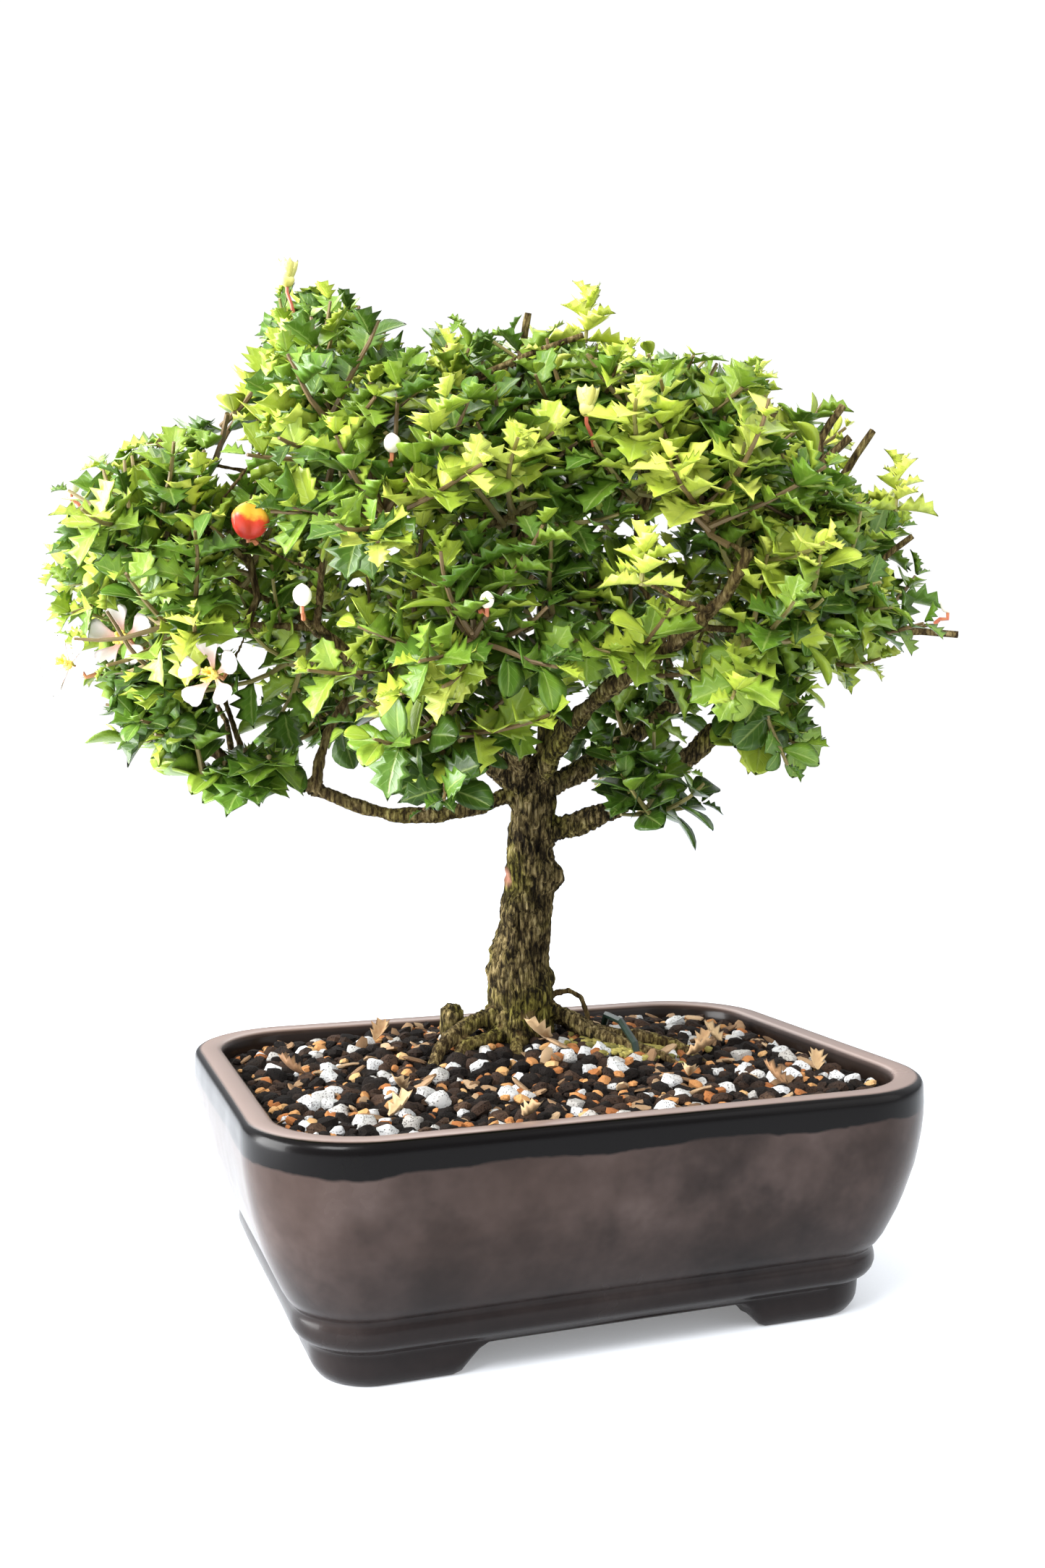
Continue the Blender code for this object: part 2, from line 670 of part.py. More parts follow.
def free_place(place, reach, taken):
    """A place moved out of the crown until a ball about it is clear. The ball is then taken too."""
    middle = tree_point(place)
    outward = (middle - from_foot(*CROWN_HEART)).normalized()
    for attempt in range(CORE_TRIES * 2):
        at = middle + outward * CORE_STEP * attempt
        room = tree_of(ball(at, reach, 1))
        if clear_of(room, taken) and not any(inside(tree, at) for tree in taken):
            break
    taken.append(room)
    return at, room


def place_cores(fixed):
    """Each core moves outwards until it is clear of the limbs and of the cores before it."""
    cores = []
    for index, (middle, outward, size) in enumerate(pad_places()):
        for attempt in range(CORE_TRIES):
            moved = middle + outward * CORE_STEP * attempt
            smaller = size * (1.0 - CORE_SHRINK * attempt)
            wide = pad_core(moved, outward, smaller * CORE_ROOM, random.Random(SEED + index))
            if clear_of(tree_of(wide), fixed):
                break
        mesh = pad_core(moved, outward, smaller, random.Random(SEED + index))
        cores.append((mesh, moved, outward, smaller))
        fixed = fixed + [tree_of(mesh)]
    return cores


def limb_samples():
    """Places on the limbs where a twig may start, each with the limb's radius."""
    found = []
    for route, thick, thin in LIMBS:
        way = smooth_route(route, SAMPLE_STEP)
        for (point, share), (after, _) in zip(way, way[1:]):
            if share > TWIG_FROM:
                found.append((point, (thick + (thin - thick) * share) * MM))
        found.append((after + (point - after).normalized() * thin * MM, thin * MM))
    return found


def stop_short(points, target):
    """The route up to just before it enters a body: its flat end clears the slanted surface."""
    for i, (start, end) in enumerate(zip(points, points[1:])):
        along = (end - start).normalized()
        spot, normal = target.ray_cast(start, along, (end - start).length)[:2]
        if spot is not None:
            square = min(1.0, abs(along.dot(normal)))
            if square < SQUARE_ENOUGH:
                return []
            back = (CLEARANCE + TWIG_TIP * math.sqrt(1.0 - square * square)) / square
            kept = points[:i + 1] if (spot - start).length > back + MM else points[:i]
            return kept + [spot - along * back] if kept else []
    return points


def twig_route(start, goal, sideways, upwards):
    """A bowed line of points from a limb to the goal."""
    way = goal - start
    across = way.cross(UP).normalized()
    middle = start + way * TWIG_BOW_AT + (across * sideways + UP * upwards) * way.length
    pieces = max(2, round(way.length / TWIG_STEP))
    shares = [i / pieces for i in range(pieces + 1)]
    return [start * (1 - t) ** 2 + middle * 2 * t * (1 - t) + goal * t * t for t in shares]


def grow_twig(goal, samples, fixed, target=None):
    """A twig from the nearest place on a limb that gives it a clear way to the goal, and its route."""
    def cost(sample):
        return (goal - sample[0]).length + TWIG_RISE_WEIGHT * max(0.0, sample[0].z - goal.z + TWIG_RISE)

    blocks = fixed + ([target] if target else [])
    for start, radius in sorted(samples, key=cost)[:TWIG_TRIES]:
        if (goal - start).length < SAMPLE_STEP:
            continue
        for sideways, upwards in TWIG_BOWS:
            points = twig_route(start, goal, sideways, upwards)
            if target:
                points = stop_short(points, target)
            pieces = len(points) - 1
            if pieces < 1:
                continue
            thick = min(TWIG_BASE, radius * TWIG_OF_LIMB)
            radii = [thick + (TWIG_TIP - thick) * i / pieces for i in range(pieces + 1)]
            mesh = tube(points, radii, TWIG_SIDES)
            if clear_of(tree_of(mesh), blocks):
                return mesh, points
    raise ValueError("no clear way for a twig")


def grow_stalks(samples, taken, cores, twigs):
    """Twigs for all that is small: blooms, buds, seed heads, the fruit and young shoots."""
    wanted = [(place, BLOOM_ROOM, toward(*facing)) for place, facing in BLOOMS]
    wanted += [(place, BUD_ROOM, UP) for place, _ in BUDS]
    wanted += [(place, HEAD_ROOM, UP) for place in SEED_HEADS + (FRUIT,)]
    wanted += [(place, SHOOT_ROOM, UP) for place in PALE_SHOOTS]
    settled = [(place, reach, facing, *free_place(place, reach, taken)) for place, reach, facing in wanted]
    lines = {}
    for place, reach, facing, at, room in settled:
        others = cores + [other[4] for other in settled if other[4] is not room]
        mesh, lines[place] = grow_twig(at - facing * reach * STALK_FROM, samples, others)
        twigs.append(mesh)
    return lines


def set_slit(face, order, middle, half_across, half_up):
    """Moves a face's four corners to those of a thin rectangle."""
    for loop, (side, level) in zip(face.loops, order):
        loop.vert.co = middle + half_across * side + half_up * level


def open_foot(work, facet, across, size):
    """Insets a facet to the small slit a leaf grows from, and gives the order of its corners."""
    middle, normal = facet.calc_center_median(), facet.normal.copy()
    bmesh.ops.inset_individual(work, faces=[facet], thickness=FOOT_INSET)
    if len(facet.verts) == 3:
        longest = max(facet.edges, key=lambda edge: edge.calc_length())
        bmesh.utils.edge_split(longest, longest.verts[0], 0.5)
    flat = (across - normal * across.dot(normal)).normalized()
    over = normal.cross(flat)
    rim = [(loop.vert.co - middle).normalized() for loop in facet.loops]

    def misfit(order):
        return sum((way - (flat * x + over * y).normalized()).length for way, (x, y) in zip(rim, order))

    order = min((CORNERS[turn:] + CORNERS[:turn] for turn in range(4)), key=misfit)
    set_slit(facet, order, middle, flat * FOOT_WIDTH * size / 2, over * BLADE_THICK / 2)
    return order


def raise_leaf(work, face, order, foot, frame, size, margin=0.0):
    """Extrudes a slit into a spined leaf, section by section, and closes it to a point."""
    across, along, up = frame
    for wide, far, lift in LEAF_EDGE:
        face = bmesh.ops.extrude_discrete_faces(work, faces=[face])["faces"][0]
        middle = foot + (along * far + up * lift) * LEAF_LENGTH * size + along * margin * far
        half_wide = wide * LEAF_WIDTH * size / 2 + margin
        set_slit(face, order, middle, across * half_wide, up * (BLADE_THICK / 2 + margin))
    if not margin:
        corner = {place: loop.vert for loop, place in zip(face.loops, order)}
        pairs = {corner[(-1, 1)]: corner[(1, 1)], corner[(-1, -1)]: corner[(1, -1)]}
        bmesh.ops.weld_verts(work, targetmap=pairs)


def leaf_room(foot, frame, size):
    """The space a leaf needs, a little wider than the leaf."""
    across, along, up = frame
    start = foot - along * CLEARANCE
    work = bmesh.new()
    reach = FOOT_WIDTH * size
    corners = [start + across * x * reach + up * y * BLADE_THICK for x, y in CORNERS]
    face = work.faces.new([work.verts.new(corner) for corner in corners])
    raise_leaf(work, face, CORNERS, foot, frame, size, CLEARANCE)
    room = BVHTree.FromBMesh(work)
    work.free()
    return room


def leaf_frame(along, up):
    """Across, along and up for a leaf that points one way and faces another."""
    along = along.normalized()
    up = (up - along * up.dot(along)).normalized()
    return up.cross(along), along, up


def spread(facets, first):
    """The facets in an order that keeps each next one far from those before it."""
    left = sorted(facets, key=lambda facet: -facet.normal.dot(first))
    chosen = [left.pop(0)]
    while left:
        lone = min(left, key=lambda facet: max(facet.normal.dot(other.normal) for other in chosen))
        left.remove(lone)
        chosen.append(lone)
    return chosen


def grow_leaves(work, facets, count, size, lean, fixed, rng):
    """Raises up to that many leaves, one to a facet, clear of each other and of all that is fixed."""
    taken = list(fixed)
    for facet in facets:
        if count == 0:
            break
        normal, middle = facet.normal.copy(), facet.calc_center_median()
        for _ in range(LEAF_TRIES):
            stray = Vector((rng.uniform(-1, 1), rng.uniform(-1, 1), rng.uniform(-0.7, 0.9)))
            along = (normal + lean(middle) + stray * LEAF_STRAY).normalized()
            if along.dot(normal) < LEAF_LEAN:
                continue
            frame = leaf_frame(along, UP + stray * LEAF_ROLL)
            grown = size * rng.uniform(0.88, 1.12)
            room = leaf_room(middle, frame, grown)
            if clear_of(room, taken):
                order = open_foot(work, facet, frame[0], grown)
                raise_leaf(work, facet, order, middle, frame, grown)
                taken.append(room)
                count -= 1
                break
    bmesh.ops.triangulate(work, faces=work.faces)


def petal():
    """A narrow claw and a broad cupped end, as half an outline mirrored over its rib and thickened."""
    work = bmesh.new()
    work.faces.new([work.verts.new(Vector(corner)) for corner in PETAL_HALF])
    bmesh.ops.triangulate(work, faces=work.faces)
    shape = scratch("petal", mesh_of(work, "petal"))
    mirror = shape.modifiers.new("Halves", "MIRROR")
    mirror.merge_threshold = 0.00001
    wall = shape.modifiers.new("Thickness", "SOLIDIFY")
    wall.thickness = BLADE_THICK
    wall.offset = 0.0
    mesh = evaluated_mesh(shape)
    bpy.data.objects.remove(shape)
    work = bmesh.new()
    work.from_mesh(mesh)
    bmesh.ops.triangulate(work, faces=work.faces)
    return mesh_of(work, "petal")


def stand(foot, tip_way, face_way, size=1.0):
    """The matrix that sets a blade's foot at a point, with its tip and its face turned."""
    y = tip_way.normalized()
    z = (face_way - y * face_way.dot(y)).normalized()
    x = y.cross(z)
    frame = Matrix((x, y, z)).transposed().to_4x4()
    return Matrix.Translation(foot) @ frame @ Matrix.Diagonal((size, size, 1.0, 1.0))


def placed(mesh, matrix):
    found = mesh.copy()
    found.transform(matrix)
    return found


def make_pad(name, home, material, core, fixed, rng):
    """A core with holly leaves standing out of it on all sides."""
    mesh, middle, outward, size = core
    work = bmesh.new()
    work.from_mesh(mesh)
    count = LEAVES_A_PAD if size > SMALL_PAD else LEAVES_A_SMALL_PAD

    def lean(at):
        return (at - middle).normalized() * LEAF_OUTWARD

    grow_leaves(work, spread(work.faces, outward), count, 1.0, lean, fixed, rng)
    return add_object(name, mesh_of(work, name), material, home)


def make_pale_shoot(name, home, material, points, fixed, rng):
    """A young shoot: a thin stem going on from its twig, with crossed pairs of small pale leaves."""
    end, way = points[-1], (points[-1] - points[-2]).normalized()
    foot = end + way * STALK_GAP
    bend = foot + way * SHOOT_PITCH
    for turn in SHOOT_TURNS:
        rise = way.lerp(UP, turn).normalized()
        line = [foot] + [bend + rise * SHOOT_PITCH * step for step in range(PALE_PAIRS + 1)]
        wide = tube(line, [SHOOT_RADIUS + CLEARANCE] * len(line), TWIG_SIDES)
        if clear_of(tree_of(wide), fixed):
            break
    else:
        raise ValueError("no clear way for a young shoot")
    work = bmesh.new()
    work.from_mesh(tube(line, [SHOOT_RADIUS] * len(line), TWIG_SIDES))
    sides = [face for face in work.faces if abs(face.normal.dot(rise)) < 0.5 and len(face.verts) == 4]
    sides.sort(key=lambda face: face.calc_center_median().dot(rise))
    pairs = []
    for step in range(1, PALE_PAIRS + 1):
        ring = sides[TWIG_SIDES * step:TWIG_SIDES * (step + 1)]
        ring.sort(key=lambda face: math.atan2(face.normal.y, face.normal.x))
        pairs += ring[step % 2::2]
    grow_leaves(work, pairs, len(pairs), PALE_SIZE, lambda at: rise * PALE_RISE, fixed, rng)
    return add_object(name, mesh_of(work, name), material, home)


def stalk_points(points, length, rise):
    """A thin stalk that carries on from a twig's end."""
    end, way = points[-1], (points[-1] - points[-2]).normalized()
    foot = end + way * STALK_GAP
    return [foot, foot + way * length * 0.5, foot + way * length * 0.5 + rise * length * 0.5]


def make_bloom(index, home, materials, points, facing, whole_petal):
    """Five clawed petals on a stalk, and the stamens in their middle as a node of their own."""
    line = stalk_points(points, BLOOM_STALK_LENGTH, facing)
    stalk = tube(line, BLOOM_STALK, TWIG_SIDES)
    body = add_object(f"bloom_{index}_petals", stalk, materials["petal"], home)
    frame = facing.to_track_quat("Z", "Y").to_matrix()
    centre = line[-1] - facing * PETAL_SINK
    petals = []
    for i in range(PETALS):
        angle = math.tau * i / PETALS + PETAL_TURN
        way = frame @ Vector((math.cos(angle), math.sin(angle), PETAL_LIFT))
        petals.append(scratch("petal", placed(whole_petal, stand(centre, way, facing))))
    settle_boolean(body, petals, "UNION")
    middle = line[-1] + facing * STAMEN_LIFT
    heart = add_object(f"bloom_{index}_stamens", ball(middle, HEART_RADIUS, 1), materials["stamen"], home)
    prongs = []
    for i in range(STAMENS):
        angle = math.tau * i / STAMENS
        way = frame @ Vector((math.cos(angle) * STAMEN_SPREAD, math.sin(angle) * STAMEN_SPREAD, 1.0))
        prongs.append(scratch("prong", prong(middle, way.normalized(), STAMEN_LENGTH, STAMEN_RADIUS)))
    settle_boolean(heart, prongs, "UNION")
    return body, heart


def prong(foot, way, length, radius):
    """A short three-sided spike."""
    work = bmesh.new()
    turn = way.to_track_quat("Z", "Y").to_matrix().to_4x4()
    place = Matrix.Translation(foot + way * length / 2) @ turn
    bmesh.ops.create_cone(work, cap_ends=True, segments=3, radius1=radius, radius2=radius * PRONG_TAPER,
                          depth=length, matrix=place)
    return mesh_of(work, "prong")


def ball(middle, radius, steps=2):
    work = bmesh.new()
    bmesh.ops.create_icosphere(work, subdivisions=steps, radius=radius, matrix=Matrix.Translation(middle))
    return mesh_of(work, "ball")


def make_bud(name, home, material, points, radius):
    """A round bud on its stalk."""
    line = stalk_points(points, BUD_STALK_LENGTH, UP)
    body = add_object(name, tube(line, [STALK_RADIUS] * 3, TWIG_SIDES), material, home)
    bud = scratch("bud", ball(line[-1] + UP * radius * BUD_SINK, radius))
    return settle_boolean(body, [bud], "UNION")


def make_seed_head(name, home, material, points):
    """What is left when the petals have dropped: a cup of sepals with the old stamens standing up."""
    line = stalk_points(points, HEAD_STALK_LENGTH, UP)
    body = add_object(name, tube(line, [STALK_RADIUS] * 3, TWIG_SIDES), material, home)
    middle = line[-1] + UP * CUP_RISE
    others = [scratch("cup", ball(middle, CUP_RADIUS, 1))]
    for i in range(HEAD_PRONGS):
        angle = math.tau * i / HEAD_PRONGS
        way = Vector((math.cos(angle) * STAMEN_SPREAD, math.sin(angle) * STAMEN_SPREAD, 1.0)).normalized()
        others.append(scratch("prong", prong(middle, way, HEAD_PRONG_LENGTH, STALK_RADIUS)))
    return settle_boolean(body, others, "UNION")


def make_fruit(home, material, points):
    """A drupe of three lobes."""
    line = stalk_points(points, FRUIT_STALK_LENGTH, UP)
    body = add_object("fruit", tube(line, [STALK_RADIUS] * 3, TWIG_SIDES), material, home)
    lobes = []
    for i in range(3):
        angle = math.tau * i / 3 + FRUIT_TURN
        off = toward(math.cos(angle), -0.4, math.sin(angle)) * FRUIT_LOBE * FRUIT_APART
        lobes.append(scratch("lobe", ball(line[-1] + UP * FRUIT_LOBE + off, FRUIT_LOBE, 1)))
    return settle_boolean(body, lobes, "UNION")


def set_origin_below_middle():
    """Moves every node so that the origin lies under the middle of the whole, at the surface it stands on."""
    low = Vector((1e9, 1e9, 1e9))
    high = -low
    nodes = [node for node in bpy.data.objects if node.type == "MESH"]
    for node in nodes:
        for vert in node.data.vertices:
            low = Vector(map(min, low, vert.co))
            high = Vector(map(max, high, vert.co))
    shift = Matrix.Translation((-(low.x + high.x) / 2, -(low.y + high.y) / 2, -low.z))
    for node in nodes:
        node.data.transform(shift)


def make_materials():
    return {
        "glaze": make_material("glaze", (0.055, 0.036, 0.030), 0.18),
        "soil": make_material("soil", (0.060, 0.042, 0.032), 0.95),
        "mesh": make_material("drain_mesh", (0.02, 0.02, 0.02), 0.6),
        "wire": make_material("wire_coat", (0.010, 0.045, 0.050), 0.4),
        "bark": make_material("bark", (0.150, 0.095, 0.045), 0.9),
        "leaf": make_material("leaf", (0.060, 0.190, 0.030), 0.45),
        "pale": make_material("young_leaf", (0.420, 0.620, 0.070), 0.5),
        "petal": make_material("petal", (0.880, 0.830, 0.800), 0.6),
        "stamen": make_material("stamen", (0.800, 0.560, 0.060), 0.7),
        "bud": make_material("bud", (0.780, 0.760, 0.480), 0.5),
        "seed_head": make_material("seed_head", (0.620, 0.560, 0.120), 0.7),
        "fruit": make_material("fruit", (0.750, 0.080, 0.030), 0.3),
    }


def main():
    clear_scene()
    home = bpy.data.collections.new("dwarf_holly_bonsai")
    bpy.context.scene.collection.children.link(home)
    materials = make_materials()
    rng = random.Random(SEED)

    make_pot(home, materials["glaze"])
    for side, name in ((-1, "drain_mesh_left"), (1, "drain_mesh_right")):
        middle = (side * DRAIN_X, 0.0, FLOOR_TOP + GAP + MESH_THICK / 2)
        add_object(name, box_mesh(middle, MESH_SIDE / 2, MESH_THICK / 2), materials["mesh"], home)
    add_object("tie_wire", tie_mesh(), materials["wire"], home)
    make_soil(home, materials["soil"], root_holes())

    limbs = [tree_of(limb_tube(*limb, ROOT_SIDES, LIMB_STEP, LIMB_ROOM)) for limb in LIMBS + CUT_STUBS]
    limbs.append(tree_of(trunk_tube(TRUNK, LIMB_ROOM)))
    cores = place_cores(limbs)
    core_trees = [tree_of(core[0]) for core in cores]
    samples = limb_samples()
    forks = []

    twigs = []
    for i, (mesh, middle, outward, size) in enumerate(cores):
        others = core_trees[:i] + core_trees[i + 1:]
        mesh, points = grow_twig(middle, samples, others, core_trees[i])
        twigs.append(mesh)
        forks += [(point, TWIG_TIP) for point in points[1:-1]]
    lines = grow_stalks(samples + forks, limbs + core_trees, core_trees, twigs)
    wood = make_wood(home, materials["bark"], twigs)

    fixed = [tree_of(wood.data)] + core_trees
    made = []
    whole_petal = petal()
    for i, (place, facing) in enumerate(BLOOMS):
        made += make_bloom(i + 1, home, materials, lines[place], toward(*facing), whole_petal)
    for i, (place, radius) in enumerate(BUDS):
        made.append(make_bud(f"bud_{i + 1}", home, materials["bud"], lines[place], radius * MM))
    for i, place in enumerate(SEED_HEADS):
        made.append(make_seed_head(f"seed_head_{i + 1}", home, materials["seed_head"], lines[place]))
    made.append(make_fruit(home, materials["fruit"], lines[FRUIT]))
    fixed += [tree_of(node.data) for node in made]

    for i, place in enumerate(PALE_SHOOTS):
        node = make_pale_shoot(f"pale_shoot_{i + 1}", home, materials["pale"], lines[place], fixed, rng)
        fixed.append(tree_of(node.data))
    for i, core in enumerate(cores):
        others = [entry for entry in fixed if entry is not core_trees[i]]
        node = make_pad(f"leaf_pad_{i + 1:02d}", home, materials["leaf"], core, others, rng)
        fixed[fixed.index(core_trees[i])] = tree_of(node.data)
    set_origin_below_middle()


main()
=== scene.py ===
"""The looks of a dwarf holly bonsai in its glazed pot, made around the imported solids.

Everything is in metres in the frame of the solids. Tables of the tree are in millimetres, as seen
from its front: to the right of the trunk, behind it, and above its foot.
"""

import math
import random

import bpy
from mathutils import Matrix, Vector, noise
from mathutils.bvhtree import BVHTree


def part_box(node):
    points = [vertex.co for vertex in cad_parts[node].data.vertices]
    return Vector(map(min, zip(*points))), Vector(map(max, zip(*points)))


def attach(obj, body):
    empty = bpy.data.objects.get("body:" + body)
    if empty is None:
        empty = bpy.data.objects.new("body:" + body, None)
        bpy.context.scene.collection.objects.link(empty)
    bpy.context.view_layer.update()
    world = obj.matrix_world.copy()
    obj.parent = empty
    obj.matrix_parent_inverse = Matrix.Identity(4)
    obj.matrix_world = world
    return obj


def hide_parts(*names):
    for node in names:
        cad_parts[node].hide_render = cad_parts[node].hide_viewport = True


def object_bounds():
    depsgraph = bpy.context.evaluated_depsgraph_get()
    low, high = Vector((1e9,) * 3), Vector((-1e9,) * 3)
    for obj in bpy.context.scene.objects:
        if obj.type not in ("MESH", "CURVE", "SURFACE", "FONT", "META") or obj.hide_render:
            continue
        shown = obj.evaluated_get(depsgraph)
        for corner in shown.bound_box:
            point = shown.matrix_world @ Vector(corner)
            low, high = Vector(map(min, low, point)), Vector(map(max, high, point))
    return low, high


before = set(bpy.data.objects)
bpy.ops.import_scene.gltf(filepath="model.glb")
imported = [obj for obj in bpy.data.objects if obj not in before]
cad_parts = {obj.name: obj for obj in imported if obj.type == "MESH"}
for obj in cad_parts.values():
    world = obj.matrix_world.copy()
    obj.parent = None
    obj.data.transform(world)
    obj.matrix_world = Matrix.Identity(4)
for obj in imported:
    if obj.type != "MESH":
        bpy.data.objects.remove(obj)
SOLID_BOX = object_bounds()

MM = 0.001
UP = Vector((0.0, 0.0, 1.0))
POT_LOW, POT_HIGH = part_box("pot")
POT_MIDDLE = Vector(((POT_LOW.x + POT_HIGH.x) / 2, (POT_LOW.y + POT_HIGH.y) / 2, 0.0))
TREE_FOOT = POT_MIDDLE + Vector((0.005, 0.025, 0.073))
FRONT = Matrix.Rotation(math.radians(-19.9), 3, "Z")

# Camera: place from the middle of the pot's foot, direction, and the photograph's frame
CAMERA_PLACE = Vector((-0.160, -0.423, 0.170))
CAMERA_TURN, CAMERA_RISE = math.radians(-19.89), math.radians(1.75)
CAMERA_BACK = Vector((math.sin(CAMERA_TURN) * math.cos(CAMERA_RISE),
                      -math.cos(CAMERA_TURN) * math.cos(CAMERA_RISE), math.sin(CAMERA_RISE)))
CAMERA_RIGHT = Vector((math.cos(CAMERA_TURN), math.sin(CAMERA_TURN), 0.0))
CAMERA_ABOVE = CAMERA_BACK.cross(CAMERA_RIGHT)
CAMERA_LENS, CAMERA_SENSOR = 33.2, 36.0
PHOTO_WIDE, PHOTO_TALL = 1445, 2168

# Pot: half length and height of the outer wall, from foot to rim, with its corner radius
OUTER_WALL = (
    (80.4, 0.0, 14.0), (81.2, 0.4, 14.6), (82.0, 1.4, 15.2), (82.9, 2.8, 16.0), (83.4, 4.2, 16.5),
    (83.7, 6.2, 16.9), (83.8, 8.4, 17.0), (83.9, 9.4, 17.2), (84.6, 10.2, 17.8), (86.0, 11.2, 19.0),
    (87.4, 12.3, 20.0), (88.3, 13.6, 20.8), (88.7, 15.2, 21.0), (88.6, 16.8, 21.0), (88.3, 18.1, 20.8),
    (87.9, 19.0, 20.4), (88.0, 19.7, 20.4), (88.6, 20.5, 20.7), (89.8, 21.9, 21.6), (91.2, 24.2, 22.6),
    (93.1, 28.2, 24.2), (94.9, 32.2, 25.6), (96.5, 36.4, 27.0), (97.8, 40.4, 28.2), (99.3, 45.4, 29.4),
    (100.3, 50.2, 30.4), (101.2, 55.2, 31.4), (101.8, 60.0, 32.2), (102.0, 63.6, 32.7), (102.0, 66.8, 33.0),
    (101.9, 68.6, 33.0), (101.4, 69.7, 32.6), (100.6, 70.3, 32.0),
)
RIM = (
    (99.5, 70.5, 31.0), (97.4, 70.5, 29.0), (95.2, 70.45, 27.0), (94.0, 70.2, 26.0), (93.3, 69.6, 25.2),
    (92.8, 68.4, 24.8),
)
INNER_WALL = (
    (92.3, 66.4, 24.2), (91.6, 60.0, 23.6), (90.6, 50.0, 22.6), (89.4, 40.0, 21.4), (86.0, 30.0, 19.0),
    (82.0, 23.0, 16.0), (79.0, 19.4, 13.0), (76.0, 18.0, 11.0),
)
RECESS = ((70.6, 8.5, 10.0), (70.0, 8.2, 10.4), (69.9, 0.9, 10.6), (70.6, 0.0, 11.0))
WIDTH_LESS = 23.5
COLUMNS_LONG, COLUMNS_SHORT, COLUMNS_CORNER = 56, 38, 14
SKIRT_TOP = 9.4
ARCH_LIFT, ARCH_SLOPE = 8.2, 9.5
ARCH_HALF_LONG, ARCH_HALF_SHORT = 47.0, 27.0
DRAIN_X, DRAIN_RADIUS = 0.048, 0.007


def clear_selection():
    if bpy.context.object and bpy.context.object.mode != "OBJECT":
        bpy.ops.object.mode_set(mode="OBJECT")
    bpy.ops.object.select_all(action="DESELECT")


def select(*pieces):
    clear_selection()
    for piece in pieces:
        piece.select_set(True)
    bpy.context.view_layer.objects.active = pieces[0]


def named(name):
    """The piece just added, under its own name."""
    piece = bpy.context.object
    piece.name = name
    piece.data.name = name
    return piece


def finish_modifier(piece, kind, **values):
    select(piece)
    tool = piece.modifiers.new(kind.title(), kind)
    for key, value in values.items():
        setattr(tool, key, value)
    bpy.ops.object.modifier_apply(modifier=tool.name)
    return piece


def edit(piece, *steps):
    """Edit-mode steps on the whole mesh. Each is an operator's name in bpy.ops.mesh and its values."""
    select(piece)
    bpy.ops.object.mode_set(mode="EDIT")
    bpy.ops.mesh.select_all(action="SELECT")
    for name, values in steps:
        getattr(bpy.ops.mesh, name)(**values)
    bpy.ops.object.mode_set(mode="OBJECT")
    return piece


MERGE = ("remove_doubles", {"threshold": 0.00001})
OUTWARDS = ("normals_make_consistent", {"inside": False})


def smooth(piece, angle=180.0):
    select(piece)
    if angle < 180.0:
        bpy.ops.object.shade_smooth_by_angle(angle=math.radians(angle))
    else:
        bpy.ops.object.shade_smooth()
    return piece


def join(pieces, name):
    select(*pieces)
    if len(pieces) > 1:
        bpy.ops.object.join()
    return named(name)


def discard(piece):
    bpy.data.objects.remove(piece)


def give(piece, *materials):
    piece.data.materials.clear()
    for material in materials:
        piece.data.materials.append(material)
    return piece


def stand_in(piece, slot, *nodes):
    """The finished piece rides on the one body and takes the place of these solids."""
    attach(piece, "root")
    if nodes:
        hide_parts(*nodes)
    return piece


def mark(mesh, name, values):
    """Writes one number for each vertex."""
    layer = mesh.attributes.get(name) or mesh.attributes.new(name, "FLOAT", "POINT")
    layer.data.foreach_set("value", values)


def mark_evenly(mesh, value, *names):
    for name in names:
        mark(mesh, name, [value] * len(mesh.vertices))


def level(angle):
    """A level direction at an angle from X."""
    return Vector((math.cos(angle), math.sin(angle), 0.0))


def copies(model, places, name):
    """Copies of a model, each with its own mesh, joined into one piece. A place is a matrix and a tone."""
    made = []
    for matrix, tone in places:
        mesh = model.data.copy()
        mesh.transform(matrix)
        mark_evenly(mesh, tone, "tone")
        copy = bpy.data.objects.new(name, mesh)
        bpy.context.scene.collection.objects.link(copy)
        made.append(copy)
    return join(made, name)


def in_tree(right, back, height):
    """A point of the tree, from millimetres."""
    turned = FRONT @ Vector((right * MM, back * MM, 0.0))
    return TREE_FOOT + turned + UP * (height * MM)


def pointing(foot, along, up, size=1.0):
    """A matrix that sets a model's foot at a point, its Y along one way and its Z near another."""
    y = along.normalized()
    z = up - y * up.dot(y)
    if z.length < 0.001:
        z = y.orthogonal()
    z.normalize()
    x = y.cross(z)
    turn = Matrix((x, y, z)).transposed().to_4x4()
    return Matrix.Translation(foot) @ turn @ Matrix.Scale(size, 4)


def fractal(point, scale, octaves=3):
    """Noise of several sizes, from about -1 to 1."""
    total, share = 0.0, 1.0
    for octave in range(octaves):
        total += noise.noise(point * scale * 2 ** octave) * share
        share *= 0.5
    return total


# Materials


def new_group(name, inputs, outputs):
    group = bpy.data.node_groups.new(name, "ShaderNodeTree")
    for label, kind, value in inputs:
        socket = group.interface.new_socket(label, in_out="INPUT", socket_type=kind)
        socket.default_value = value
    for label, kind in outputs:
        group.interface.new_socket(label, in_out="OUTPUT", socket_type=kind)
    enter = group.nodes.new("NodeGroupInput")
    leave = group.nodes.new("NodeGroupOutput")
    return group, enter.outputs, leave.inputs


FLOAT, VECTOR = "NodeSocketFloat", "NodeSocketVector"


def node(tree, kind, **values):
    made = tree.nodes.new(kind)
    for key, value in values.items():
        setattr(made, key, value)
    return made


def put(made, **values):
    """Sets input sockets by name, with underscores for spaces."""
    for key, value in values.items():
        made.inputs[key.replace("_", " ")].default_value = value
    return made


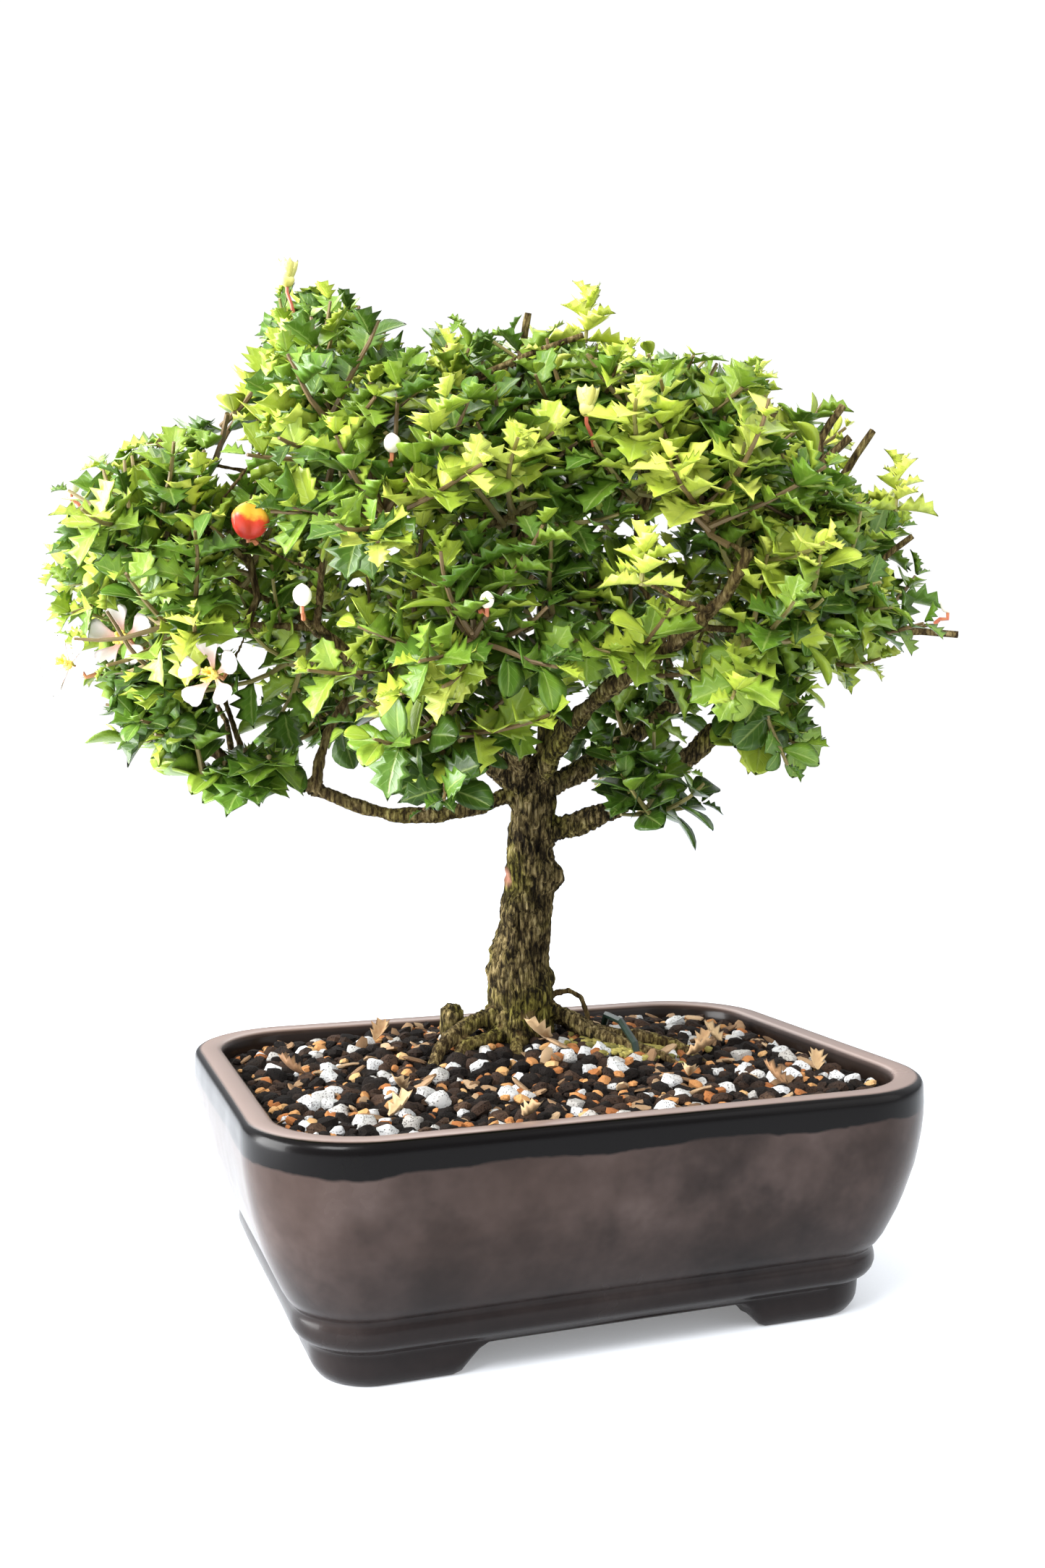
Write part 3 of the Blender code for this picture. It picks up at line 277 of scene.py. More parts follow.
def ramp(tree, source, stops):
    """A colour ramp fed by a number."""
    made = node(tree, "ShaderNodeValToRGB")
    band = made.color_ramp
    while len(band.elements) < len(stops):
        band.elements.new(0.5)
    for element, (place, colour) in zip(band.elements, stops):
        element.position = place
        element.color = (*colour, 1.0)
    tree.links.new(source, made.inputs["Fac"])
    return made.outputs["Color"]


def mixed(tree, share, first, second, blend="MIX"):
    """Two colours mixed. Each is a colour or a socket, and so is the share."""
    made = node(tree, "ShaderNodeMix", data_type="RGBA", blend_type=blend)
    for socket, value in ((made.inputs[0], share), (made.inputs[6], first), (made.inputs[7], second)):
        if isinstance(value, bpy.types.NodeSocket):
            tree.links.new(value, socket)
        elif isinstance(value, (int, float)):
            socket.default_value = value
        else:
            socket.default_value = (*value, 1.0)
    return made.outputs[2]


def sums(tree, operation, first, second=0.0, third=0.0):
    made = node(tree, "ShaderNodeMath", operation=operation)
    for socket, value in zip(made.inputs, (first, second, third)):
        if isinstance(value, bpy.types.NodeSocket):
            tree.links.new(value, socket)
        else:
            socket.default_value = value
    return made.outputs[0]


def make_speckle_group():
    """Two sizes of noise on the place given, as a soft mask and a sharp one."""
    group, enter, leave = new_group(
        "speckle",
        (("Place", VECTOR, (0, 0, 0)), ("Coarse", FLOAT, 100.0), ("Fine", FLOAT, 900.0)),
        (("Soft", FLOAT), ("Grain", FLOAT)))
    wide = put(node(group, "ShaderNodeTexNoise"), Detail=4.0, Roughness=0.6)
    fine = put(node(group, "ShaderNodeTexNoise"), Detail=5.0, Roughness=0.7)
    group.links.new(enter["Place"], wide.inputs["Vector"])
    group.links.new(enter["Place"], fine.inputs["Vector"])
    group.links.new(enter["Coarse"], wide.inputs["Scale"])
    group.links.new(enter["Fine"], fine.inputs["Scale"])
    group.links.new(wide.outputs["Fac"], leave["Soft"])
    group.links.new(fine.outputs["Fac"], leave["Grain"])
    return group


def make_pore_group():
    """Round pores and pits, as a mask that is dark in the pores."""
    group, enter, leave = new_group(
        "pores",
        (("Place", VECTOR, (0, 0, 0)), ("Scale", FLOAT, 900.0), ("Size", FLOAT, 0.35)),
        (("Open", FLOAT),))
    cells = node(group, "ShaderNodeTexVoronoi")
    group.links.new(enter["Place"], cells.inputs["Vector"])
    group.links.new(enter["Scale"], cells.inputs["Scale"])
    edge = node(group, "ShaderNodeMapRange", interpolation_type="SMOOTHSTEP")
    group.links.new(cells.outputs["Distance"], edge.inputs["Value"])
    group.links.new(enter["Size"], edge.inputs["From Max"])
    group.links.new(edge.outputs["Result"], leave["Open"])
    return group


def make_vein_group():
    """A leaf's midrib and slanting side veins, read across and along its blade, as two masks."""
    group, enter, leave = new_group(
        "leaf_veins",
        (("Place", VECTOR, (0, 0, 0)), ("Pairs", FLOAT, 34.0), ("Slant", FLOAT, 22.0)),
        (("Midrib", FLOAT), ("Side Veins", FLOAT)))
    place = node(group, "ShaderNodeSeparateXYZ")
    group.links.new(enter["Place"], place.inputs[0])
    across = sums(group, "ABSOLUTE", sums(group, "SUBTRACT", place.outputs["X"], 0.5))
    group.links.new(ramp(group, across, ((0.0, (1, 1, 1)), (0.055, (0, 0, 0)))), leave["Midrib"])
    rise = sums(group, "MULTIPLY", place.outputs["Y"], enter["Pairs"])
    wave = sums(group, "SINE", sums(group, "SUBTRACT", rise, sums(group, "MULTIPLY", across, enter["Slant"])))
    veins = ramp(group, wave, ((0.80, (0, 0, 0)), (1.0, (0.35, 0.35, 0.35))))
    group.links.new(veins, leave["Side Veins"])
    return group


SPECKLE = make_speckle_group()
PORES = make_pore_group()
VEINS = make_vein_group()


class Surface:
    """A material under construction: its node tree, its shader and the places its patterns read."""

    def __init__(self, name, roughness=0.5, **shader_values):
        self.material = bpy.data.materials.new(name)
        self.material.use_nodes = True
        self.tree = self.material.node_tree
        self.shader = self.tree.nodes["Principled BSDF"]
        self.shader.inputs["Roughness"].default_value = roughness
        put(self.shader, **shader_values)
        self.place = node(self.tree, "ShaderNodeTexCoord").outputs["Object"]

    def group(self, group, place=None, **values):
        made = node(self.tree, "ShaderNodeGroup", node_tree=group)
        self.tree.links.new(place or self.place, made.inputs["Place"])
        put(made, **values)
        return made.outputs

    def value(self, name):
        return node(self.tree, "ShaderNodeAttribute", attribute_name=name).outputs["Fac"]

    def stretched(self, scale):
        made = node(self.tree, "ShaderNodeMapping")
        made.inputs["Scale"].default_value = scale
        self.tree.links.new(self.place, made.inputs["Vector"])
        return made.outputs["Vector"]

    def colour(self, socket):
        self.tree.links.new(socket, self.shader.inputs["Base Color"])
        return self

    def rough(self, source, low, high):
        """Roughness that follows a mask between two values."""
        made = node(self.tree, "ShaderNodeMapRange")
        put(made, To_Min=low, To_Max=high)
        self.tree.links.new(source, made.inputs["Value"])
        self.tree.links.new(made.outputs["Result"], self.shader.inputs["Roughness"])
        return self

    def bump(self, height, strength, distance):
        made = put(node(self.tree, "ShaderNodeBump"), Strength=strength, Distance=distance)
        self.tree.links.new(height, made.inputs["Height"])
        self.tree.links.new(made.outputs["Normal"], self.shader.inputs["Normal"])
        return self


def glaze_material():
    """Dark brown glaze: mottled body; a near-black band under the rim, partly a darker glaze and partly painted
    reflection of a dark room; lighter rim; painted shade deepening towards the feet.
    """
    work = Surface("brown_glaze", Coat_Weight=0.05, Coat_Roughness=0.04, Specular_IOR_Level=0.09)
    tree = work.tree
    stain = work.group(SPECKLE, Coarse=34.0, Fine=240.0)
    cloud = work.group(SPECKLE, work.stretched((1.0, 1.0, 1.8)), Coarse=11.0, Fine=1500.0)
    body = ramp(tree, stain["Soft"], (
        (0.30, (0.012, 0.008, 0.007)), (0.42, (0.026, 0.018, 0.016)), (0.56, (0.050, 0.035, 0.031)),
        (0.72, (0.082, 0.060, 0.054))))
    body = mixed(tree, ramp(tree, cloud["Soft"], ((0.34, (0, 0, 0)), (0.66, (1, 1, 1)))),
                 mixed(tree, 0.55, body, (0.045, 0.028, 0.022)), body)
    # Painted shade: the glaze goes towards near-black from 50 mm down to the feet.
    foot = sums(tree, "ADD", work.value("foot"), sums(tree, "MULTIPLY", stain["Grain"], 0.2))
    painted_low_shade = mixed(tree, 0.8, body, (0.006, 0.0055, 0.006))
    body = mixed(tree, ramp(tree, foot, ((0.25, (0, 0, 0)), (0.95, (1, 1, 1)))), body, painted_low_shade)
    # Near-black band under the rim: partly a darker glaze, partly painted reflection of a dark room.
    wave = sums(tree, "ADD", work.value("band"), sums(tree, "MULTIPLY", stain["Soft"], 0.55))
    dark_glaze_and_reflection_band = ramp(tree, wave, ((0.90, (0, 0, 0)), (0.97, (1, 1, 1))))
    body = mixed(tree, dark_glaze_and_reflection_band, body, (0.002, 0.0015, 0.0015))
    body = mixed(tree, work.value("rim"), body, (0.210, 0.150, 0.128))
    body = mixed(tree, work.value("inner"), body, (0.014, 0.009, 0.007))
    work.colour(body)
    work.rough(stain["Soft"], 0.14, 0.34)
    return work.bump(cloud["Grain"], 0.12, 0.0002).material


def soil_material():
    work = Surface("damp_soil", 0.95, Specular_IOR_Level=0.15)
    dust = work.group(SPECKLE, Coarse=240.0, Fine=1400.0)
    work.colour(ramp(work.tree, dust["Soft"], (
        (0.3, (0.004, 0.003, 0.002)), (0.5, (0.012, 0.008, 0.006)), (0.7, (0.035, 0.022, 0.014)))))
    return work.bump(dust["Grain"], 0.8, 0.0008).material


def grit_material(name, stops, pore_size, depth):
    """Broken stone: a tone for each grain, painted shade in the pores, and dust."""
    work = Surface(name, 0.9, Specular_IOR_Level=0.15)
    tree = work.tree
    dust = work.group(SPECKLE, Coarse=420.0, Fine=2600.0)
    pores = work.group(PORES, Scale=1500.0, Size=pore_size)
    tone = sums(tree, "ADD", work.value("tone"), sums(tree, "MULTIPLY", dust["Soft"], 0.35))
    body = ramp(tree, tone, stops)
    # Painted shade: the colour is multiplied down inside the pores.
    body = mixed(tree, pores["Open"], mixed(tree, 1.0, body, (0.35, 0.32, 0.30), "MULTIPLY"), body)
    work.colour(body)
    height = sums(tree, "ADD", sums(tree, "MULTIPLY", dust["Grain"], 0.6), pores["Open"])
    return work.bump(height, 0.9, depth).material


def bark_material():
    """Dark olive-brown bark, finely ridged along the trunk, smoother and redder on thin limbs, with painted shade
    in the cracks of its bark.
    """
    work = Surface("holly_bark", 0.9, Specular_IOR_Level=0.12)
    tree = work.tree
    ridge = work.group(SPECKLE, work.stretched((1.0, 1.0, 0.17)), Coarse=980.0, Fine=2400.0)
    plate = work.group(SPECKLE, work.stretched((1.0, 1.0, 0.55)), Coarse=230.0, Fine=900.0)
    patch = work.group(SPECKLE, Coarse=70.0, Fine=420.0)
    ridged, plated = sums(tree, "MULTIPLY", ridge["Soft"], 0.72), sums(tree, "MULTIPLY", plate["Soft"], 0.28)
    grain = sums(tree, "ADD", ridged, plated)
    old = ramp(tree, grain, (
        (0.38, (0.006, 0.004, 0.002)), (0.45, (0.034, 0.024, 0.010)), (0.51, (0.125, 0.092, 0.036)),
        (0.58, (0.290, 0.220, 0.095)), (0.66, (0.520, 0.420, 0.220))))
    old = mixed(tree, ramp(tree, patch["Soft"], ((0.44, (0, 0, 0)), (0.62, (0.8, 0.8, 0.8)))), old,
                mixed(tree, 1.0, old, (0.80, 0.95, 0.35), "MULTIPLY"))
    # Painted shade: the sunken cracks of the bark go towards near-black.
    shade = sums(tree, "MULTIPLY", work.value("painted_fissure_shade"), 0.75)
    old = mixed(tree, shade, old, (0.008, 0.005, 0.003))
    young = ramp(tree, grain, (
        (0.40, (0.055, 0.032, 0.012)), (0.52, (0.140, 0.092, 0.036)), (0.64, (0.260, 0.190, 0.085))))
    body = mixed(tree, sums(tree, "MULTIPLY", work.value("young"), 0.8), old, young)
    body = mixed(tree, work.value("scar"), body, (0.520, 0.250, 0.170))
    work.colour(body)
    return work.bump(sums(tree, "ADD", grain, ridge["Grain"]), 0.9, 0.0014).material


def twig_material():
    work = Surface("green_twig", 0.6)
    streak = work.group(SPECKLE, Coarse=300.0, Fine=1800.0)
    tone = sums(work.tree, "ADD", work.value("tone"), sums(work.tree, "MULTIPLY", streak["Soft"], 0.4))
    work.colour(ramp(work.tree, tone, (
        (0.15, (0.075, 0.040, 0.018)), (0.5, (0.150, 0.095, 0.035)), (0.9, (0.230, 0.210, 0.060)))))
    return work.bump(streak["Grain"], 0.4, 0.0002).material


LEAF_TOP = ((0.0, (0.026, 0.062, 0.006)), (0.26, (0.072, 0.155, 0.013)), (0.48, (0.180, 0.285, 0.026)),
            (0.72, (0.370, 0.460, 0.046)), (1.0, (0.700, 0.750, 0.140)))
LEAF_UNDER = ((0.0, (0.165, 0.215, 0.055)), (0.40, (0.265, 0.325, 0.075)), (0.75, (0.430, 0.495, 0.110)),
              (1.0, (0.620, 0.700, 0.180)))


def leaf_material(name, stops, roughness, vein_light, coat):
    """Leaf blade: its own tone, a pale midrib, side veins and slight mottling."""
    work = Surface(name, roughness, Coat_Weight=coat, Coat_Roughness=0.22, Specular_IOR_Level=0.28)
    tree = work.tree
    spot = work.group(SPECKLE, Coarse=260.0, Fine=1500.0)
    blade = work.group(VEINS, node(tree, "ShaderNodeUVMap", uv_map="UVMap").outputs["UV"])
    midrib, veins = blade["Midrib"], blade["Side Veins"]
    mottle = sums(tree, "MULTIPLY", sums(tree, "SUBTRACT", spot["Soft"], 0.5), 0.30)
    tone = sums(tree, "ADD", work.value("tone"), mottle)
    body = ramp(tree, tone, stops)
    body = mixed(tree, midrib, body, mixed(tree, vein_light, body, (0.45, 0.55, 0.16)))
    body = mixed(tree, veins, body, mixed(tree, vein_light, body, (0.30, 0.42, 0.10)))
    work.colour(body)
    work.rough(spot["Soft"], roughness - 0.08, roughness + 0.10)
    height = sums(tree, "ADD", sums(tree, "MULTIPLY", veins, -1.0), sums(tree, "MULTIPLY", midrib, -2.0))
    return work.bump(height, 0.35, 0.0003).material


def plain_material(name, stops, roughness, coarse=500.0, depth=0.0001, **shader_values):
    """A small organic surface: a ramp over soft noise and the piece's own tone."""
    work = Surface(name, roughness, **shader_values)
    spot = work.group(SPECKLE, Coarse=coarse, Fine=coarse * 5)
    tone = sums(work.tree, "ADD", work.value("tone"), sums(work.tree, "MULTIPLY", spot["Soft"], 0.5))
    work.colour(ramp(work.tree, tone, stops))
    work.rough(spot["Soft"], roughness - 0.08, roughness + 0.08)
    return work.bump(spot["Grain"], 0.4, depth).material


def petal_material():
    """White petal, pink towards its claw."""
    work = Surface("white_petal", 0.6)
    tree = work.tree
    place = node(tree, "ShaderNodeSeparateXYZ")
    chart = node(tree, "ShaderNodeUVMap", uv_map="UVMap")
    tree.links.new(chart.outputs["UV"], place.inputs[0])
    spot = work.group(SPECKLE, Coarse=600.0, Fine=2400.0)
    along = sums(tree, "ADD", place.outputs["Y"], sums(tree, "MULTIPLY", spot["Soft"], 0.15))
    work.colour(ramp(tree, along, (
        (0.10, (0.72, 0.48, 0.18)), (0.32, (0.76, 0.47, 0.43)), (0.62, (0.77, 0.66, 0.64)),
        (0.9, (0.80, 0.76, 0.74)))))
    return work.bump(spot["Grain"], 0.3, 0.0002).material


def mesh_material():
    """Woven plastic mesh."""
    work = Surface("drain_weave", 0.6)
    wave = put(node(work.tree, "ShaderNodeTexWave", wave_type="BANDS", bands_direction="X"), Scale=200.0)
    cross = put(node(work.tree, "ShaderNodeTexWave", wave_type="BANDS", bands_direction="Y"), Scale=200.0)
    for made in (wave, cross):
        work.tree.links.new(work.place, made.inputs["Vector"])
    height = sums(work.tree, "MAXIMUM", wave.outputs["Fac"], cross.outputs["Fac"])
    work.colour(ramp(work.tree, height, ((0.2, (0.004, 0.004, 0.004)), (0.8, (0.03, 0.03, 0.03)))))
    return work.bump(height, 0.8, 0.0004).material


# Pot


def ring_places():
    """How a ring round the pot is walked: for each column its side or corner, and how far along."""
    found = []
    for corner in range(4):
        long_side = corner in (0, 2)
        found += [("corner", corner, step / COLUMNS_CORNER) for step in range(COLUMNS_CORNER)]
        count = COLUMNS_LONG if long_side else COLUMNS_SHORT
        found += [("side", corner, step / count) for step in range(count)]
    return found


def corner_middle(corner, half_x, half_y, radius):
    side_x = 1 if corner in (0, 3) else -1
    side_y = 1 if corner in (0, 1) else -1
    return Vector((side_x * (half_x - radius), side_y * (half_y - radius), 0.0))


def ring_point(walk, half_x, half_y, radius):
    kind, corner, share = walk
    start = math.radians(90.0 * corner)
    middle = corner_middle(corner, half_x, half_y, radius)
    if kind == "corner":
        angle = start + math.radians(90.0) * share
        return middle + Vector((math.cos(angle), math.sin(angle), 0.0)) * radius
    after = corner_middle((corner + 1) % 4, half_x, half_y, radius)
    angle = start + math.radians(90.0)
    out = Vector((math.cos(angle), math.sin(angle), 0.0)) * radius
    return (middle + out).lerp(after + out, share)


def arch_lift(point):
    """How far the lower edge rises between the feet, in millimetres."""
    lift = 0.0
    for place, half in ((point.x, ARCH_HALF_LONG), (point.y, ARCH_HALF_SHORT)):
        if abs(place) < half:
            share = min(1.0, (half - abs(place)) / ARCH_SLOPE)
            lift = max(lift, ARCH_LIFT * share * share * (3 - 2 * share))
    return lift


def make_pot():
    rows = [(0.0, 8.5, 0.0)] + list(RECESS)
    first_outer = len(rows)
    rows += list(OUTER_WALL)
    first_rim = len(rows)
    rows += list(RIM)
    first_inner = len(rows)
    rows += list(INNER_WALL) + [(0.0, 18.0, 0.0)]
    walks = ring_places()
    clear_selection()
    bpy.ops.mesh.primitive_grid_add(x_subdivisions=len(walks), y_subdivisions=len(rows) - 1, size=1.0)
    pot = named("glazed_pot")
    columns = len(walks) + 1
    marks = {"foot": [], "band": [], "rim": [], "inner": []}
    for index, vert in enumerate(pot.data.vertices):
        row, column = divmod(index, columns)
        half, height, radius = rows[row]
        point = ring_point(walks[column % len(walks)], half, max(0.0, half - WIDTH_LESS), radius)
        if half == 0.0:
            point = Vector((0.0, 0.0, 0.0))
        if height < SKIRT_TOP and 0 < row < first_rim:
            lift = arch_lift(point)
            height = lift + (SKIRT_TOP - lift) * height / SKIRT_TOP
            if row < first_outer:
                height = min(height, 8.5)
        uneven = 0.0
        if row < first_inner:
            uneven = fractal(Vector((point.x, point.y, height)) * 0.018, 1.0, 2) * 0.25
        out = Vector((point.x, point.y, 0.0))
        if out.length > 0.0 and first_outer + 6 < row < first_rim:
            point += out.normalized() * uneven - out.normalized() * 0.1
        vert.co = POT_MIDDLE + Vector((point.x, point.y, height)) * MM
        # Foot: share of painted shade, rising towards the bottom of the pot.
        marks["foot"].append(max(0.0, min(1.0, (50.0 - height) / 40.0)) if row < first_rim else 0.0)
        # Band: share of the near-black glaze under the rim, partly darker glaze and partly painted reflection.
        marks["band"].append(max(0.0, min(1.0, (height - 55.0) / 11.0)) if row < first_rim + 1 else 0.0)
        marks["rim"].append(1.0 if first_rim <= row < first_rim + 4 else 0.0)
        marks["inner"].append(1.0 if row >= first_inner - 1 else 0.0)
    for name, values in marks.items():
        mark(pot.data, name, values)
    edit(pot, MERGE, OUTWARDS)
    for side in (-1, 1):
        clear_selection()
        bpy.ops.mesh.primitive_cylinder_add(vertices=48, radius=DRAIN_RADIUS, depth=0.03,
                                            location=POT_MIDDLE + Vector((side * DRAIN_X, 0.0, 0.012)))
        drill = named("drill")
        finish_modifier(pot, "BOOLEAN", object=drill, operation="DIFFERENCE", solver="EXACT")
        discard(drill)
    smooth(pot, 40.0)
    return stand_in(give(pot, glaze_material()), "glaze", "pot")


def ground(x, y):
    """Height of the soil, measured from the middle of the pot, all in metres."""
    away = math.hypot(x - 0.005, y - 0.025) / 0.046
    return 0.0648 + 0.0072 * math.exp(-away * away)


def make_soil():
    """The damp ground between the grains, filled out to the pot's wall."""
    walks = ring_places()
    shares = [0.0] + [step / 26 for step in range(1, 27)]
    rows = [("top", share) for share in shares]
    rows += [("wall", height) for height in (58.0, 40.0, 25.0)] + [("floor", 0.0)]
    clear_selection()
    bpy.ops.mesh.primitive_grid_add(x_subdivisions=len(walks), y_subdivisions=len(rows) - 1, size=1.0)
    soil = named("potting_soil")
    columns = len(walks) + 1
    edges = {58.0: 91.0, 40.0: 89.0, 25.0: 80.5}
    for index, vert in enumerate(soil.data.vertices):
        row, column = divmod(index, columns)
        kind, share = rows[row]
        walk = walks[column % len(walks)]
        if kind == "top":
            point = ring_point(walk, 91.9, 91.9 - WIDTH_LESS, 24.0) * share * MM
            height = ground(point.x, point.y) + fractal(point, 180.0, 3) * 0.0011
        elif kind == "wall":
            point = ring_point(walk, edges[share], edges[share] - WIDTH_LESS, 20.0) * MM
            height = share * MM
        else:
            point, height = Vector((0.0, 0.0, 0.0)), 0.0195
        vert.co = POT_MIDDLE + Vector((point.x, point.y, height))
    edit(soil, MERGE, OUTWARDS)
    smooth(soil)
    return stand_in(give(soil, soil_material()), "soil", "soil")


def bvh_of(piece):
    return BVHTree.FromPolygons([vert.co for vert in piece.data.vertices],
                                [face.vertices for face in piece.data.polygons])


# Grains of the soil


def make_stone(name, seed, squash, cuts):
    """A crushed stone: a cube with its edges bevelled, then roughened."""
    clear_selection()
    bpy.ops.mesh.primitive_cube_add(size=1.5)
    stone = named(name)
    edit(stone, ("bevel", {"offset": 0.42, "segments": cuts, "affect": "EDGES"}), MERGE)
    rng = random.Random(seed)
    shift = Vector((rng.uniform(0, 50), rng.uniform(0, 50), rng.uniform(0, 50)))
    for vert in stone.data.vertices:
        bulge = 1.0 + 0.32 * noise.noise(vert.co * 1.1 + shift) + 0.16 * noise.noise(vert.co * 3.1 + shift)
        vert.co = Vector((vert.co.x * squash[0], vert.co.y * squash[1], vert.co.z * squash[2])) * bulge * 0.62
    edit(stone, OUTWARDS)
    return smooth(stone, 38.0)


def scatter(models, wanted, sizes, apart, seed, name, wood_tree, taken, sink, tones):
    """Grains dropped over the soil, none in the wood and none too near one that lies there."""
    rng = random.Random(seed)
    places = {index: [] for index in range(len(models))}
    laid = 0
    for step in range(wanted * 14):
        if laid >= wanted:
            break
        x = rng.uniform(-0.0905, 0.0905)
        y = rng.uniform(-0.0675, 0.0675)
        size = rng.uniform(*sizes) * MM
        edge = size * 0.5
        corner = Vector((max(0.0, abs(x) - 0.0675), max(0.0, abs(y) - 0.0440), 0.0)).length
        if corner > 0.0232 - edge:
            continue
        if any((x - other_x) ** 2 + (y - other_y) ** 2 < (apart * (size + other_size)) ** 2
               for other_x, other_y, other_size in taken):
            continue
        spot = POT_MIDDLE + Vector((x, y, ground(x, y) + size * (sink + rng.uniform(-0.12, 0.16))))
        near = wood_tree.find_nearest(spot, 0.02)
        if near[0] is not None and (near[3] < size * 0.42 or (spot - near[0]).dot(near[1]) < 0.0):
            continue
        turn = Matrix.Rotation(rng.uniform(0, 6.28), 4, "Z") @ Matrix.Rotation(rng.uniform(-0.6, 0.6), 4, "X")
        turn = turn @ Matrix.Rotation(rng.uniform(-0.6, 0.6), 4, "Y")
        model = rng.randrange(len(models))
        places[model].append((Matrix.Translation(spot) @ turn @ Matrix.Scale(size, 4), rng.uniform(*tones)))
        taken.append((x, y, size))
        laid += 1
    made = [copies(models[index], spots, name + str(index)) for index, spots in places.items() if spots]
    return join(made, name)


PUMICE = ((0.0, (0.20, 0.17, 0.14)), (0.45, (0.42, 0.41, 0.39)), (1.0, (0.62, 0.63, 0.64)))
LAVA = ((0.0, (0.004, 0.003, 0.003)), (0.5, (0.014, 0.010, 0.008)), (0.8, (0.055, 0.031, 0.020)),
        (1.0, (0.200, 0.120, 0.070)))
CLAY = ((0.0, (0.12, 0.040, 0.014)), (0.45, (0.33, 0.125, 0.040)), (0.75, (0.46, 0.245, 0.095)),
        (1.0, (0.56, 0.40, 0.20)))
FLAKE = ((0.0, (0.070, 0.036, 0.018)), (0.5, (0.210, 0.125, 0.065)), (1.0, (0.460, 0.330, 0.200)))


# Grains: piece, shape, how many, sizes in millimetres, how far apart, seed, how far out of the soil,
# tones, and the material's name, colours, pore size and depth of relief
GRAINS = (
    ("white_pumice", "chunky", 150, (3.0, 7.2), 0.44, 31, 0.14, (0.1, 0.8), ("pumice", PUMICE, 0.42, 0.0005)),
    ("dark_lava", "sharp", 1150, (2.6, 7.4), 0.27, 32, 0.08, (0.0, 0.65), ("lava", LAVA, 0.40, 0.0014)),
    ("orange_clay", "sharp", 420, (1.9, 5.0), 0.22, 33, 0.20, (0.0, 0.7), ("baked_clay", CLAY, 0.25, 0.0003)),
    ("bark_flakes", "flat", 150, (2.6, 7.0), 0.10, 34, 0.30, (0.0, 0.7), ("bark_chip", FLAKE, 0.15, 0.0004)),
)


def make_grains(wood_tree):
    """White pumice, dark lava, orange clay and bark, each in its own piece."""
    chunky = [make_stone("chunk" + str(seed), seed, (1.0, 0.85, 0.75), 2) for seed in (1, 2, 3, 4)]
    sharp = [make_stone("shard" + str(seed), seed, (1.0, 0.8, 0.6), 1) for seed in (11, 12, 13, 14)]
    flat = [make_stone("flake" + str(seed), seed, (1.25, 0.6, 0.22), 1) for seed in (21, 22, 23)]
    taken = []
    shapes = {"chunky": chunky, "sharp": sharp, "flat": flat}
    made = []
    for name, shape, wanted, sizes, apart, seed, sink, tones, _ in GRAINS:
        near = [] if shape == "flat" else taken
        made.append(scatter(shapes[shape], wanted, sizes, apart, seed, name, wood_tree, near, sink, tones))
    for piece, row in zip(made, GRAINS):
        stand_in(give(piece, grit_material(*row[-1])), "soil")
    for model in chunky + sharp + flat:
        discard(model)


# Wood


# Knobs of healed bark: place on the tree, how far each spreads and how far it rises
KNOBS = ((9.6, -3, 52, 5.5, 3.2), (-11.0, -2, 55, 4.5, 2.2), (-14.0, -4, 20, 6.5, 2.4), (8.4, -7, 29, 4.5, 1.8),
         (-7, -10, 40, 5.0, 1.6), (4, -10, 12, 5.5, 2.0), (-13, -6, 4, 6.0, 2.4), (7, -5, 66, 4.5, 1.8),
         (-3, -9, 62, 4.0, 1.5), (9, 4, 18, 6.0, 2.0), (-10, 6, 32, 6.0, 2.2), (3, 9, 46, 5.0, 2.0))


WOOD_VOXEL, QUICK_VOXEL = 0.00078, 0.0011


